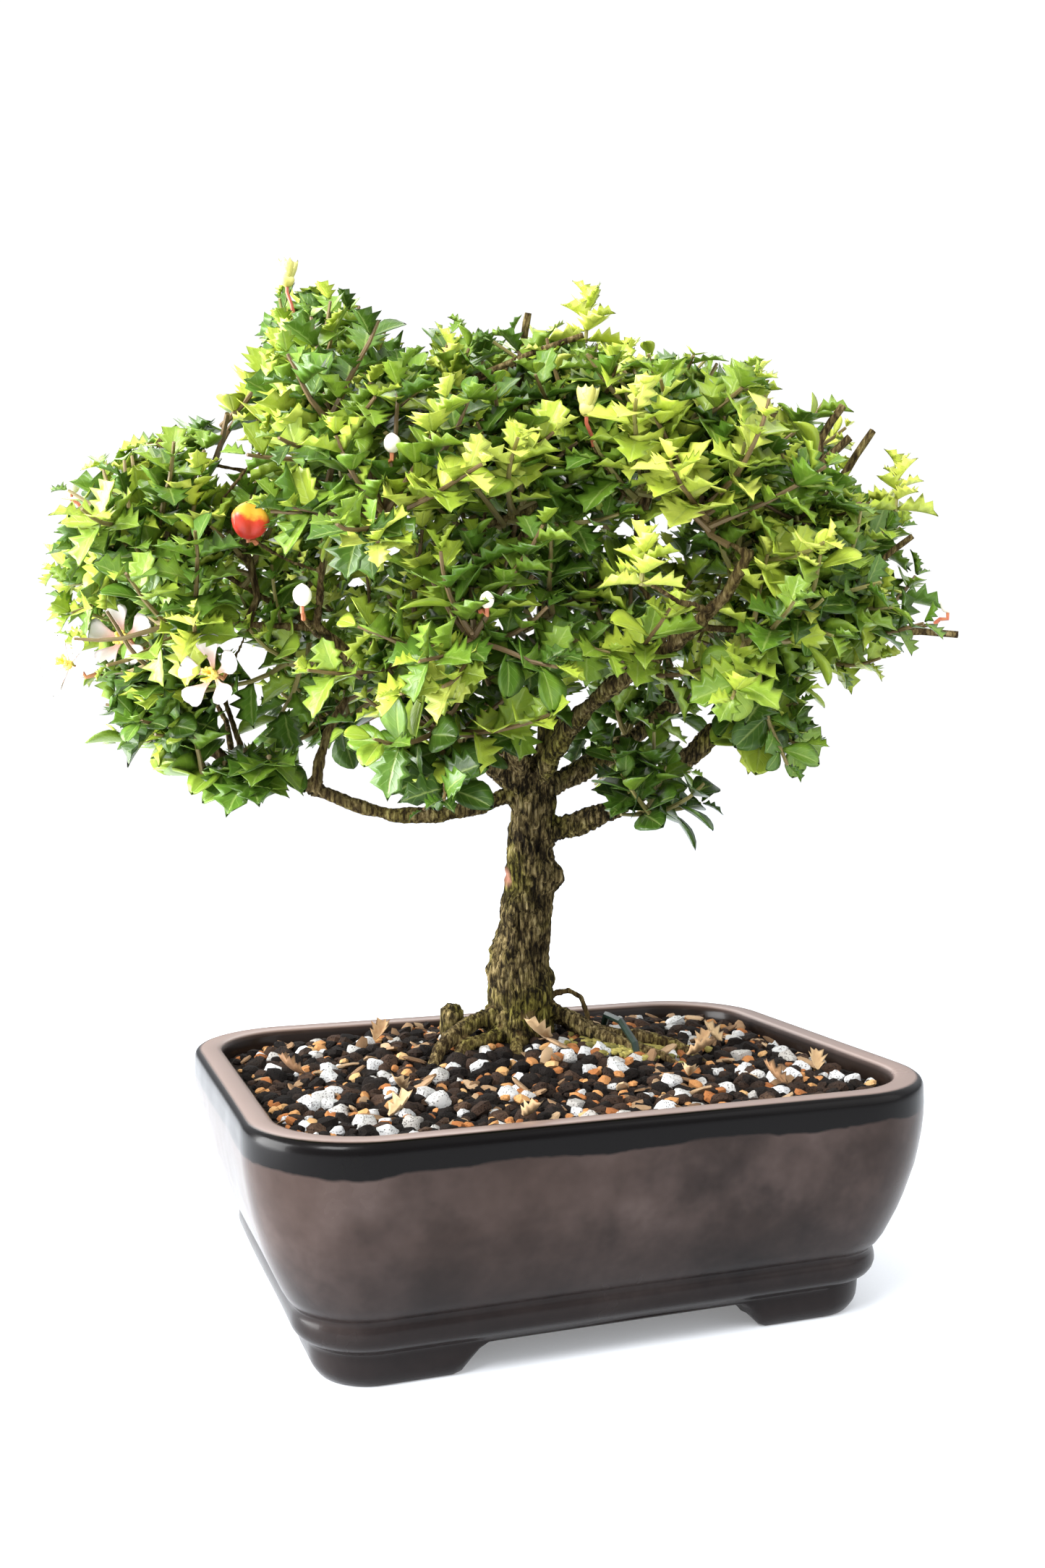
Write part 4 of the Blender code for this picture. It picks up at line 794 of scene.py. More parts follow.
def make_wood():
    """The trunk, roots and limbs rounded from their solid, with bark raised on them."""
    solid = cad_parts["trunk_and_branches"]
    clear_selection()
    bpy.ops.mesh.primitive_cube_add(size=0.001)
    wood = named("holly_wood")
    old = wood.data
    wood.data = solid.data.copy()
    wood.data.name = "holly_wood"
    bpy.data.meshes.remove(old)
    wood.data.materials.clear()
    edit(wood, ("remove_doubles", {"threshold": 0.00001}), OUTWARDS)
    finish_modifier(wood, "REMESH", mode="VOXEL", voxel_size=WOOD_VOXEL)
    finish_modifier(wood, "CORRECTIVE_SMOOTH", factor=0.5, iterations=3, use_only_smooth=True)
    tree = bvh_of(wood)
    knobs = [(in_tree(right, back, height), reach * MM, rise * MM)
             for right, back, height, reach, rise in KNOBS]
    marks = {"young": [], "painted_fissure_shade": [], "scar": []}
    moved = []
    scar_at = in_tree(-11.0, -3, 52.0)
    for vert in wood.data.vertices:
        inward = -vert.normal
        hit = tree.ray_cast(vert.co + inward * 0.0002, inward, 0.03)
        girth = hit[3] + 0.0002 if hit[0] is not None else 0.002
        old_bark = max(0.0, min(1.0, (girth - 0.0026) / 0.006))
        spot = FRONT.transposed() @ (vert.co - TREE_FOOT)
        stretched = Vector((spot.x * 640.0, spot.y * 640.0, spot.z * 190.0))
        ridge = abs(noise.noise(stretched)) * 2.0
        fine = noise.noise(Vector((spot.x * 900.0, spot.y * 900.0, spot.z * 420.0)))
        crack = max(0.0, 1.0 - ridge * 3.4)
        lump = noise.noise(Vector((spot.x * 150.0, spot.y * 150.0, spot.z * 90.0)))
        lift = (-crack * 0.6 + ridge * 0.5 + fine * 0.7 + lump * 1.6) * (0.00014 + old_bark * 0.00095)
        near_knob = max(max(0.0, 1.0 - (vert.co - centre).length / reach) * rise
                        for centre, reach, rise in knobs)
        near_scar = max(0.0, 1.0 - (vert.co - scar_at).length / 0.0050)
        moved.append(vert.co + vert.normal * (lift + near_knob + near_scar * 0.0014))
        marks["young"].append(1.0 - min(1.0, max(0.0, (girth - 0.0022) / 0.0035)))
        # Share of painted shade in the sunken cracks of the bark.
        marks["painted_fissure_shade"].append(min(1.0, crack * 1.2) * old_bark)
        marks["scar"].append(1.0 if near_scar > 0.25 else near_scar * 3.0)
    for vert, place in zip(wood.data.vertices, moved):
        vert.co = place
    for name, values in marks.items():
        mark(wood.data, name, values)
    smooth(wood)
    return stand_in(give(wood, bark_material()), "bark", "trunk_and_branches")


def tubes(runs, name, tone=0.5, rings=1):
    """Round stems along several routes, as one closed mesh. A run is its points and its radii."""
    curve = bpy.data.curves.new(name, "CURVE")
    curve.dimensions = "3D"
    curve.bevel_depth = MM
    curve.bevel_resolution = rings
    curve.use_fill_caps = True
    for points, radii in runs:
        spline = curve.splines.new("POLY")
        spline.points.add(len(points) - 1)
        for knot, point, radius in zip(spline.points, points, radii):
            knot.co = (*point, 1.0)
            knot.radius = radius / MM
    stem = bpy.data.objects.new(name, curve)
    bpy.context.scene.collection.objects.link(stem)
    select(stem)
    bpy.ops.object.convert(target="MESH")
    stem = named(name)
    edit(stem, MERGE, OUTWARDS)
    mark_evenly(stem.data, tone, "tone")
    return smooth(stem, 50.0)


# Leaves: half a blade from its foot to its tip, as (across, along, lift) for each row of the edge
SPINY_EDGE = ((0.07, 0.0, 0.0), (0.17, 0.13, 0.01), (0.42, 0.27, 0.07), (0.27, 0.36, 0.0), (0.50, 0.53, 0.08),
              (0.29, 0.60, 0.0), (0.36, 0.80, 0.07), (0.10, 0.86, 0.01), (0.0, 1.0, -0.02))
NARROW_EDGE = ((0.06, 0.0, 0.0), (0.13, 0.12, 0.01), (0.31, 0.25, 0.06), (0.22, 0.36, 0.0), (0.39, 0.50, 0.09),
               (0.23, 0.60, 0.0), (0.27, 0.78, 0.06), (0.09, 0.86, 0.01), (0.0, 1.0, -0.03))
PLAIN_EDGE = ((0.05, 0.0, 0.0), (0.15, 0.14, 0.01), (0.28, 0.30, 0.03), (0.36, 0.45, 0.04), (0.40, 0.60, 0.05),
              (0.37, 0.74, 0.04), (0.27, 0.87, 0.03), (0.14, 0.96, 0.0), (0.0, 1.0, -0.02))
RIB_ALONG = (0.0, 0.13, 0.26, 0.38, 0.50, 0.62, 0.76, 0.88, 1.0)


def make_blade(name, edge, fold, arch, thick, cup=0.0, columns=4):
    """A thin closed blade of unit length: folded along its rib, arched, with its edge as listed."""
    rows = len(edge) - 1
    clear_selection()
    bpy.ops.mesh.primitive_grid_add(x_subdivisions=columns, y_subdivisions=rows, size=1.0)
    blade = named(name)
    for index, vert in enumerate(blade.data.vertices):
        row, column = divmod(index, columns + 1)
        across, along, lift = edge[row]
        side = 2.0 * column / columns - 1.0
        out = abs(side)
        y = RIB_ALONG[row] * (1.0 - out) + along * out
        x = across * side
        z = fold * abs(x) + lift * out * out - arch * y * y - cup * out * (1.0 - out)
        vert.co = Vector((x, y, z))
    select(blade)
    bpy.ops.object.mode_set(mode="EDIT")
    bpy.ops.mesh.select_all(action="SELECT")
    bpy.ops.mesh.duplicate()
    bpy.ops.transform.translate(value=(0.0, 0.0, -0.0001))
    bpy.ops.mesh.flip_normals()
    bpy.ops.object.mode_set(mode="OBJECT")
    per_side = (columns + 1) * (rows + 1)
    for index, vert in enumerate(blade.data.vertices):
        row, column = divmod(index % per_side, columns + 1)
        inside = 0 < column < columns and 0 < row < rows
        if index >= per_side:
            vert.co.z += 0.0001 - (thick if inside else 0.0)
    for index, face in enumerate(blade.data.polygons):
        face.material_index = 0 if index < columns * rows else 1
    edit(blade, ("remove_doubles", {"threshold": 0.0004}))
    return smooth(blade)


# How the photograph is read: the trunk's foot across it, a height in it, and its units to a millimetre
TRUNK_ACROSS, MARK_DOWN, MARK_UP, PHOTO_PER_MM = 735.0, 1023.0, 170.0, 4.18


def photo_spot(point):
    """Where the photograph shows a point: millimetres right of the trunk, and up, and its depth."""
    away = point - POT_MIDDLE - CAMERA_PLACE
    depth = -away.dot(CAMERA_BACK)
    scale = CAMERA_LENS / CAMERA_SENSOR * PHOTO_TALL / depth
    across = PHOTO_WIDE / 2 + away.dot(CAMERA_RIGHT) * scale
    down = PHOTO_TALL / 2 - away.dot(CAMERA_ABOVE) * scale
    return (across - TRUNK_ACROSS) / PHOTO_PER_MM, MARK_UP + (MARK_DOWN - down) / PHOTO_PER_MM, depth


# Solids that show in the photograph with no leaf over them, and how much is free about each
SHOWN = [("bloom_%d_stamens" % number, 10.0) for number in (1, 2, 3)] + [("fruit", 5.0)]
SHOWN += [("bud_" + str(number), 3.5) for number in range(1, 6)]
SHOWN = [(photo_spot((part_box(name)[0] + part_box(name)[1]) / 2), free) for name, free in SHOWN]


def hides_flower(point):
    """Whether a point stands before a bloom, a bud or the fruit as the photograph sees them."""
    across, up, depth = photo_spot(point)
    return any(depth < spot[2] + MM and math.hypot(across - spot[0], up - spot[1]) < free
               for spot, free in SHOWN)


# Outline of the crown in the photograph, in the same millimetres
CROWN = ((-163, 241), (-145, 259), (-126, 269), (-104, 281), (-87, 297), (-80, 322), (-68, 322), (-61, 315),
         (-42, 309), (-28, 311), (1, 303), (16, 302), (40, 297), (63, 295), (80, 297), (85, 283), (104, 273),
         (109, 264), (123, 244), (124, 226), (137, 211), (128, 192), (106, 183), (94, 164), (85, 158), (66, 154),
         (52, 138), (30, 142), (8, 168), (-20, 148), (-50, 152), (-73, 168), (-92, 142), (-108, 148), (-118, 160),
         (-132, 166), (-142, 172), (-156, 199), (-160, 225))


def in_crown(point, slack=0.0):
    """Whether a point shows inside the outline, drawn in about its middle by a share."""
    across, up = photo_spot(point)[:2]
    across, up = -15.0 + (across + 15.0) * (1.0 + slack), 228.0 + (up - 228.0) * (1.0 + slack)
    inside = False
    for index, (x, z) in enumerate(CROWN):
        last_x, last_z = CROWN[index - 1]
        if (z > up) != (last_z > up) and across < (last_x - x) * (up - z) / (last_z - z) + x:
            inside = not inside
    return inside


# Where looser sprays stand between the pads
BETWEEN = ((-30, -52, 120), (4, -50, 132), (28, -46, 118), (-6, -58, 160), (30, -60, 168), (58, -50, 150),
           (-52, -48, 168), (78, -44, 160), (66, -30, 112), (-84, -40, 150), (12, -40, 190), (-30, -40, 190),
           (54, -20, 186), (-104, -30, 112), (96, -30, 132), (20, 0, 130), (-48, 4, 120), (-14, -34, 100),
           (56, 6, 130), (-72, -26, 120), (104, 4, 150), (-130, -10, 150), (44, -34, 196), (-56, -10, 196),
           (-30, 66, 160), (-26, 58, 184), (-30, 70, 138), (-6, 60, 172), (-14, 36, 200), (48, -30, 166),
           (72, -30, 138), (86, -46, 138), (62, -56, 126), (-95, -22, 199))
ROOM_LOW = SOLID_BOX[0]
ROOM_HIGH = SOLID_BOX[1]


def in_room(point, spare=0.004):
    return all(ROOM_LOW[axis] - spare < point[axis] < ROOM_HIGH[axis] + spare for axis in range(3))


FAR_LEAF = 4
PADS, TWIGS_ON_PAD = 35, 11
TWIGS_BETWEEN, REACH_BETWEEN = 7, 0.024
TWIG_STEPS = 6
LEAF_LEAST, LEAF_MOST, LEAF_SMALL = 0.0112, 0.0150, 0.0088


def make_spray(number, middle, reach, twigs, models, wood_tree, twig_look):
    """The leafy twigs that fill one place: a stem from the wood, side twigs, leaves in pairs."""
    rng = random.Random(100 + number)
    foot = wood_tree.find_nearest(middle)[0]
    heart = in_tree(-12.0, 0.0, 130.0)
    trunk_depth = photo_spot(heart)[2]
    outward = (middle - heart).normalized()
    axis = ((middle - foot).normalized() * 0.5 + outward * 0.7 + UP * 0.45).normalized()
    bend = foot.lerp(middle, 0.55) - UP * 0.002
    root = foot - (middle - foot).normalized() * 0.0008
    stem = [root, bend, middle, middle + axis * 0.008]
    while len(stem) > 2 and not in_crown(stem[-1], 0.02):
        stem.pop()
    runs = [(stem, [0.0011, 0.0009, 0.0008, 0.0006][:len(stem)])]
    leaves = {index: [] for index in range(len(models))}
    for twig in range(twigs):
        base = 0.16 + 0.60 * rng.random() ** 1.7
        slack = rng.uniform(-0.055, 0.10)
        start = bend.lerp(middle + axis * 0.006, twig / (twigs - 1))
        angle = twig * 2.4 + rng.uniform(-0.3, 0.3)
        side = axis.orthogonal().normalized()
        side = Matrix.Rotation(angle, 3, axis) @ side
        spread = 0.95 if twig < twigs - 2 else 0.35
        way = (side * spread + axis * rng.uniform(0.15, 0.5) + UP * rng.uniform(0.0, 0.3)).normalized()
        length = reach * rng.uniform(0.90, 1.60)
        points, place, heading = [start], start.copy(), way.copy()
        for step in range(TWIG_STEPS):
            wander = Vector((rng.uniform(-1, 1), rng.uniform(-1, 1), rng.uniform(-1, 1)))
            heading = (heading + UP * 0.09 + wander * 0.13).normalized()
            place = place + heading * (length / TWIG_STEPS)
            if not in_crown(place, slack) or not in_room(place, 0.0):
                break
            points.append(place.copy())
        if len(points) < 3:
            continue
        count = len(points)
        runs.append((points, [0.00095 - 0.00045 * index / (count - 1) for index in range(count)]))
        pairs = max(3, int(length * (count - 1) / TWIG_STEPS / 0.0054))
        for pair in range(pairs + 1):
            share = 0.18 + 0.82 * pair / pairs
            where = share * (count - 1)
            index = min(count - 2, int(where))
            spot = points[index].lerp(points[index + 1], where - index)
            along = (points[index + 1] - points[index]).normalized()
            flat = along.cross(UP)
            flat = flat.normalized() if flat.length > 0.2 else along.orthogonal().normalized()
            if pair % 2:
                flat = Matrix.Rotation(math.radians(rng.uniform(55, 90)), 3, along) @ flat
            young = max(0.0, (share - 0.72) / 0.28)
            for hand in (-1, 1):
                if rng.random() < 0.15:
                    continue
                spread = 1.25 - 0.75 * young + rng.uniform(-0.2, 0.2)
                out = (flat * hand * spread + along * 0.75 + UP * rng.uniform(-0.1, 0.25)).normalized()
                size = rng.uniform(LEAF_LEAST, LEAF_MOST) if rng.random() < 0.8 else LEAF_SMALL
                size *= 1.0 - 0.45 * young
                tip = spot + out * size
                if not in_crown(tip, slack - 0.03) or not in_room(tip):
                    continue
                if hides_flower(tip) or hides_flower(spot.lerp(tip, 0.5)):
                    continue
                up = (UP * 0.8 + along * 0.5 + outward * 0.3
                      + Vector((rng.uniform(-1, 1), rng.uniform(-1, 1), rng.uniform(-1, 1))) * 0.32)
                tone = base + rng.uniform(-0.16, 0.22) + young * rng.uniform(0.05, 0.26)
                tone += 0.1 if rng.random() < 0.1 else 0.0
                roll = rng.random() + max(0.0, 0.185 - spot.z) * 14.0
                model = 0 if roll < 0.42 else 1 if roll < 0.68 else 2 if roll < 0.88 else 3
                # Painted shade: leaves low in the crown, below 0.20 m, have their tone lowered towards dark
                # green.
                tone -= max(0.0, 0.20 - spot.z) * 5.0
                if model in (0, 2) and photo_spot(spot)[2] > trunk_depth:
                    model = FAR_LEAF
                leaves[model].append((pointing(spot + out * 0.0006, out, up, size), tone))
    made = [tubes(runs, "twigs_" + str(number), rng.uniform(0.2, 0.7))]
    give(made[0], twig_look)
    for index, spots in leaves.items():
        if spots:
            made.append(copies(models[index], spots, "blades"))
    return join(made, "leaf_spray_%02d" % number)


def make_crown(models, wood_tree, twig_look):
    """A spray in each pad's place, and looser ones between them."""
    for number in range(1, PADS + 1):
        node_name = "leaf_pad_%02d" % number
        low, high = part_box(node_name)
        reach = max(high.x - low.x, high.y - low.y) / 2
        spray = make_spray(number, (low + high) / 2, reach, TWIGS_ON_PAD, models, wood_tree, twig_look)
        stand_in(spray, "leaf", node_name)
    for number, (right, back, height) in enumerate(BETWEEN, PADS + 1):
        spray = make_spray(number, in_tree(right, back, height), REACH_BETWEEN, TWIGS_BETWEEN, models,
                           wood_tree, twig_look)
        stand_in(spray, "leaf")


def leaf_models(looks):
    """Spiny, folded, reflexed and plain-edged leaves, and a lighter spiny one for the tree's far side."""
    models = [make_blade("spiny", SPINY_EDGE, 0.30, 0.16, 0.030),
              make_blade("folded", NARROW_EDGE, 0.62, 0.22, 0.030, columns=2),
              make_blade("arched", SPINY_EDGE, 0.16, 0.34, 0.030, 0.06),
              make_blade("plain", PLAIN_EDGE, 0.18, 0.20, 0.030),
              make_blade("far_spiny", SPINY_EDGE, 0.30, 0.18, 0.030, columns=2)]
    for model in models:
        give(model, *looks)
    return models


def make_rosette(number, node_name, models, twig_look, wood_tree):
    """A pale young shoot: an upright stem with small folded leaves in close pairs."""
    rng = random.Random(500 + number)
    low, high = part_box(node_name)
    middle = (low + high) / 2
    foot = Vector((middle.x, middle.y, low.z))
    near = wood_tree.find_nearest(foot)[0]
    tip = Vector((middle.x + 0.001, middle.y, high.z - 0.003))
    away = (foot - near)
    start = near if away.length < 0.022 else foot - away.normalized() * 0.018
    runs = [([start, start.lerp(foot, 0.6), foot, tip], [0.0010, 0.0009, 0.0008, 0.0004])]
    leaves = {0: [], 1: []}
    pairs = 5
    for pair in range(pairs):
        share = pair / (pairs - 1)
        spot = foot.lerp(tip, share)
        for hand in range(2):
            angle = pair * 1.57 + hand * 3.1416 + rng.uniform(-0.25, 0.25)
            side = level(angle)
            out = (side * (1.2 - 0.75 * share) + UP * (0.15 + 0.75 * share)).normalized()
            size = (0.0128 - 0.0055 * share) * rng.uniform(0.85, 1.1)
            up = (UP - side * 0.8).normalized()
            leaves[rng.randrange(2)].append((pointing(spot, out, up, size), rng.uniform(0.70, 0.98)))
    made = [tubes(runs, "shoot_stem", 0.9)]
    give(made[0], twig_look)
    for index, spots in leaves.items():
        if spots:
            made.append(copies(models[index], spots, "young_blades"))
    return stand_in(join(made, "pale_shoot_leaves_" + str(number)), "young_leaf", node_name)


# Leaves that hang about the low left limb's end: middle of each tuft, and its size
TUFTS = ((-86, -34, 85, 15.0), (-95, -30, 89, 13.5), (-80, -36, 91, 14.0), (-90, -22, 93, 13.0))


def make_hanging_leaves(models, twig_look, wood_tree):
    """Larger leaves in loose tufts that turn down from a thin twig."""
    rng = random.Random(640)
    runs, leaves = [], {0: [], 2: [], 3: []}
    for right, back, height, size in TUFTS:
        middle = in_tree(right, back, height)
        near = wood_tree.find_nearest(middle)[0]
        runs.append(([near, near.lerp(middle, 0.5) + UP * 0.002, middle + UP * 0.001, middle],
                     [0.0011, 0.0009, 0.0008, 0.0005]))
        for index in range(8):
            angle = index * 2.4 + rng.uniform(-0.3, 0.3)
            side = level(angle)
            out = (side + UP * rng.uniform(-0.75, 0.15)).normalized()
            up = (UP * 0.7 + side * 0.6 + FRONT @ Vector((0.0, -0.5, 0.0))).normalized()
            length = size * MM * rng.uniform(0.85, 1.1)
            spot = middle.lerp(near, 0.10 * (index % 3))
            leaves[rng.choice((0, 2, 3))].append((pointing(spot, out, up, length), rng.uniform(0.10, 0.52)))
    made = [give(tubes(runs, "hanging_twigs", 0.4), twig_look)]
    made += [copies(models[index], spots, "blades") for index, spots in leaves.items() if spots]
    return stand_in(join(made, "hanging_leaves"), "leaf")


# Flowers, buds, seed heads and the fruit

PETAL_EDGE = ((0.06, 0.0, 0.0), (0.07, 0.16, 0.01), (0.10, 0.32, 0.03), (0.20, 0.50, 0.12), (0.31, 0.66, 0.17),
              (0.36, 0.80, 0.15), (0.30, 0.92, 0.08), (0.15, 0.99, 0.04), (0.0, 0.97, 0.02))
BLOOM_WAYS = ((-0.3, -1.0, 0.1), (-0.15, -1.0, 0.05), (-0.5, -0.8, 0.25))


def make_bloom(number, looks, wood_tree):
    """Five clawed spoon petals about a yellow heart, with thread-like stamens and a red stalk."""
    rng = random.Random(700 + number)
    petal_low, petal_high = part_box("bloom_%d_petals" % number)
    heart_low, heart_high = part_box("bloom_%d_stamens" % number)
    heart = (heart_low + heart_high) / 2
    facing = (FRONT @ Vector(BLOOM_WAYS[number - 1])).normalized()
    spread = facing.orthogonal().normalized()
    petal = give(make_blade("petal", PETAL_EDGE, 0.10, -0.10, 0.035, -0.05), looks["petal"], looks["petal"])
    spots = []
    for index in range(5):
        way = Matrix.Rotation(index * 1.2566 + 0.3, 3, facing) @ spread
        out = (way + facing * rng.uniform(0.05, 0.32)).normalized()
        claw = heart - facing * 0.0008 + way * 0.0008
        spots.append((pointing(claw, out, facing, 0.0104 * rng.uniform(0.90, 1.06)), rng.uniform(0.2, 0.8)))
    corolla = copies(petal, spots, "bloom_petals_" + str(number))
    discard(petal)
    back = heart - facing * 0.0015
    near = wood_tree.find_nearest(back)[0]
    toward = (near - back)
    end = near if toward.length < 0.025 else back + toward.normalized() * 0.020
    stalk = tubes([([back + facing * 0.001, back - facing * 0.004, back.lerp(end, 0.6) - UP * 0.002, end],
                    [0.0009, 0.0006, 0.0006, 0.0008])], "stalk", 0.5)
    give(stalk, looks["stalk"])
    stand_in(join([corolla, stalk], "bloom_petals_" + str(number)), "petal", "bloom_%d_petals" % number)
    threads = []
    for index in range(26):
        way = Matrix.Rotation(index * 2.4, 3, facing) @ spread
        lean = 0.10 + 0.85 * ((index * 0.618) % 1.0)
        tip = heart + (facing + way * lean).normalized() * rng.uniform(0.0030, 0.0046)
        threads.append(([heart - facing * 0.0012, heart.lerp(tip, 0.6), tip - (tip - heart) * 0.08, tip],
                        [0.00018, 0.00015, 0.00052, 0.00030]))
    threads.append(([heart + facing * rise for rise in (-0.002, -0.0006, 0.0006, 0.0012)],
                    [0.0011, 0.0016, 0.0013, 0.0005]))
    tuft = give(tubes(threads, "bloom_stamens_" + str(number), 0.5), looks["stamen"])
    return stand_in(tuft, "stamen", "bloom_%d_stamens" % number)


def make_drop(name, centre, radii, seed, dent=0.0):
    """A small rounded body with soft lobes: a sphere pulled out and pinched at its tip."""
    clear_selection()
    bpy.ops.mesh.primitive_uv_sphere_add(segments=24, ring_count=14, radius=1.0)
    drop = named(name)
    for vert in drop.data.vertices:
        angle = math.atan2(vert.co.y, vert.co.x)
        lobe = 1.0 + dent * math.cos(3 * angle + seed) * (1.0 - vert.co.z ** 4)
        tip = 1.0 - 0.45 * max(0.0, vert.co.z) ** 3
        vert.co = Vector((vert.co.x * lobe * tip, vert.co.y * lobe * tip, vert.co.z))
        vert.co *= 1.0 + 0.04 * noise.noise(vert.co * 2.2 + Vector((seed, 0, 0)))
    drop.data.transform(Matrix.Translation(centre) @ Matrix.Diagonal((*radii, 1.0)))
    mark(drop.data, "tone", [0.2 + 0.6 * ((vert.co.z - centre.z) / radii[2] * 0.5 + 0.5)
                             for vert in drop.data.vertices])
    return smooth(drop)


def stalk_to_wood(top, wood_tree, radius):
    """A thin stalk from a point down to the nearest wood, no longer than its leaves would hide."""
    near = wood_tree.find_nearest(top)[0]
    toward = near - top
    end = near if toward.length < 0.026 else top + toward.normalized() * 0.022
    route = [top + UP * 0.0005, top - UP * 0.002, top.lerp(end, 0.6), end]
    return route, [radius, radius, radius, radius * 1.2]


def make_buds(looks, wood_tree):
    for number in range(1, 6):
        node_name = "bud_" + str(number)
        low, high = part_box(node_name)
        width = min(high.x - low.x, 0.0056)
        centre = Vector(((low.x + high.x) / 2, (low.y + high.y) / 2, high.z - width * 0.60))
        radii = (width * 0.46, width * 0.46, width * 0.56)
        ball = give(make_drop("bud_ball", centre, radii, number, 0.05), looks["bud"])
        stalk = tubes([stalk_to_wood(centre - UP * width * 0.5, wood_tree, 0.0006)], "bud_stalk", 0.4)
        give(stalk, looks["stalk"])
        cups = []
        cup = give(make_blade("sepal", PLAIN_EDGE, 0.2, -0.25, 0.05), looks["cup"], looks["cup"])
        for index in range(5):
            angle = index * 1.2566
            side = level(angle)
            foot = centre - UP * width * 0.50 + side * 0.0003
            cups.append((pointing(foot, side * 0.8 + UP * 0.75, UP - side, 0.0030), 0.5))
        sepals = copies(cup, cups, "bud_cup")
        discard(cup)
        stand_in(join([ball, stalk, sepals], "flower_bud_" + str(number)), "bud", node_name)


def make_seed_heads(looks, wood_tree):
    for number in (1, 2):
        node_name = "seed_head_" + str(number)
        low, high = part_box(node_name)
        top = Vector(((low.x + high.x) / 2, (low.y + high.y) / 2, high.z - 0.006))
        body = give(make_drop("cup", top, (0.0021, 0.0021, 0.0024), number, 0.12), looks["cup"])
        blade = give(make_blade("point", NARROW_EDGE, 0.3, -0.3, 0.05), looks["cup"], looks["cup"])
        spots = []
        for index in range(9):
            angle = index * 2.4
            side = level(angle)
            out = side * (0.35 + 0.45 * (index % 3) / 2) + UP
            spots.append((pointing(top + side * 0.0012, out, UP - side, 0.0062), 0.3 + 0.05 * index))
        points = copies(blade, spots, "points")
        discard(blade)
        stalk = tubes([stalk_to_wood(top - UP * 0.0020, wood_tree, 0.0006)], "head_stalk", 0.3)
        give(stalk, looks["stalk"])
        stand_in(join([body, points, stalk], "spent_flower_" + str(number)), "seed_head", node_name)


def make_fruit(looks, wood_tree):
    low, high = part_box("fruit")
    centre = Vector(((low.x + high.x) / 2, (low.y + high.y) / 2, high.z - 0.0054))
    berry = give(make_drop("berry", centre, (0.0048, 0.0043, 0.0054), 1, 0.24), looks["fruit"])
    stalk = tubes([stalk_to_wood(centre - UP * 0.0038, wood_tree, 0.0007)], "berry_stalk", 0.4)
    give(stalk, looks["stalk"])
    return stand_in(join([berry, stalk], "red_fruit"), "fruit", "fruit")


def make_small_litter(looks):
    """Dry leaves and moss cushions that lie on the soil."""
    rng = random.Random(900)
    dry = give(make_blade("dry_leaf", NARROW_EDGE, 0.85, -0.55, 0.035), looks["dry"], looks["dry"])
    spots = []
    for x, y, size, turn in ((-62, -46, 9, 0.4), (58, -50, 9, 2.1), (6, 8, 11, 3.3), (-28, -58, 8, 5.0),
                             (76, -38, 8, 1.2), (34, -34, 7, 4.2), (-74, 10, 9, 2.7), (-44, 42, 9, 0.9),
                             (44, -12, 9, 5.6), (52, -4, 8, 0.6), (66, 6, 9, 2.0), (-50, -20, 8, 3.9)):
        place = POT_MIDDLE + Vector((x * MM, y * MM, ground(x * MM, y * MM) + 0.0035))
        way = Vector((math.cos(turn), math.sin(turn), 0.12))
        spots.append((pointing(place, way, UP + Vector((0.2, 0.1, 0)), size * MM), rng.uniform(0.1, 0.9)))
    litter = copies(dry, spots, "dry_leaves")
    discard(dry)
    stand_in(litter, "soil")
    cushions = []
    for index in range(300):
        x, y = 33 + rng.gauss(0, 9.0), 4 + rng.gauss(0, 6.0)
        place = POT_MIDDLE + Vector((x * MM, y * MM, ground(x * MM, y * MM) + 0.0018))
        size = Matrix.Scale(rng.uniform(0.0012, 0.0030), 4)
        cushions.append((Matrix.Translation(place) @ size, rng.uniform(0, 0.8)))
    puff = give(make_stone("moss_puff", 41, (1.0, 1.0, 0.8), 1), looks["moss"])
    moss = copies(puff, cushions, "moss_patch")
    discard(puff)
    return stand_in(moss, "soil")


# Pruned stubs and bare twigs: (right, back, height) of the tip and of a point lower down, and the radius
PRUNED = (((-115, -30, 189), (-106, -27, 181), 1.5), ((97, -24, 201), (90, -22, 190), 1.4),
          ((97, -34, 189), (85, -31, 177), 1.5), ((105, -30, 192), (95, -27, 176), 1.3),
          ((74, -36, 197), (64, -33, 179), 1.3), ((65, -20, 208), (58, -20, 193), 1.2),
          ((-1, -36, 226), (-3, -33, 214), 1.2), ((-26, -62, 197), (6, -58, 170), 1.1),
          ((15, -52, 215), (-17, -50, 203), 1.0), ((134, -22, 130), (112, -20, 131), 1.3),
          ((-96, -50, 158), (-84, -44, 150), 1.2), ((-58, -60, 182), (-48, -56, 170), 1.0),
          ((40, -62, 182), (34, -56, 168), 1.1), ((-8, -60, 176), (-2, -54, 158), 1.0),
          ((-112, -40, 178), (-100, -36, 168), 1.2), ((118, -28, 160), (106, -26, 150), 1.1))


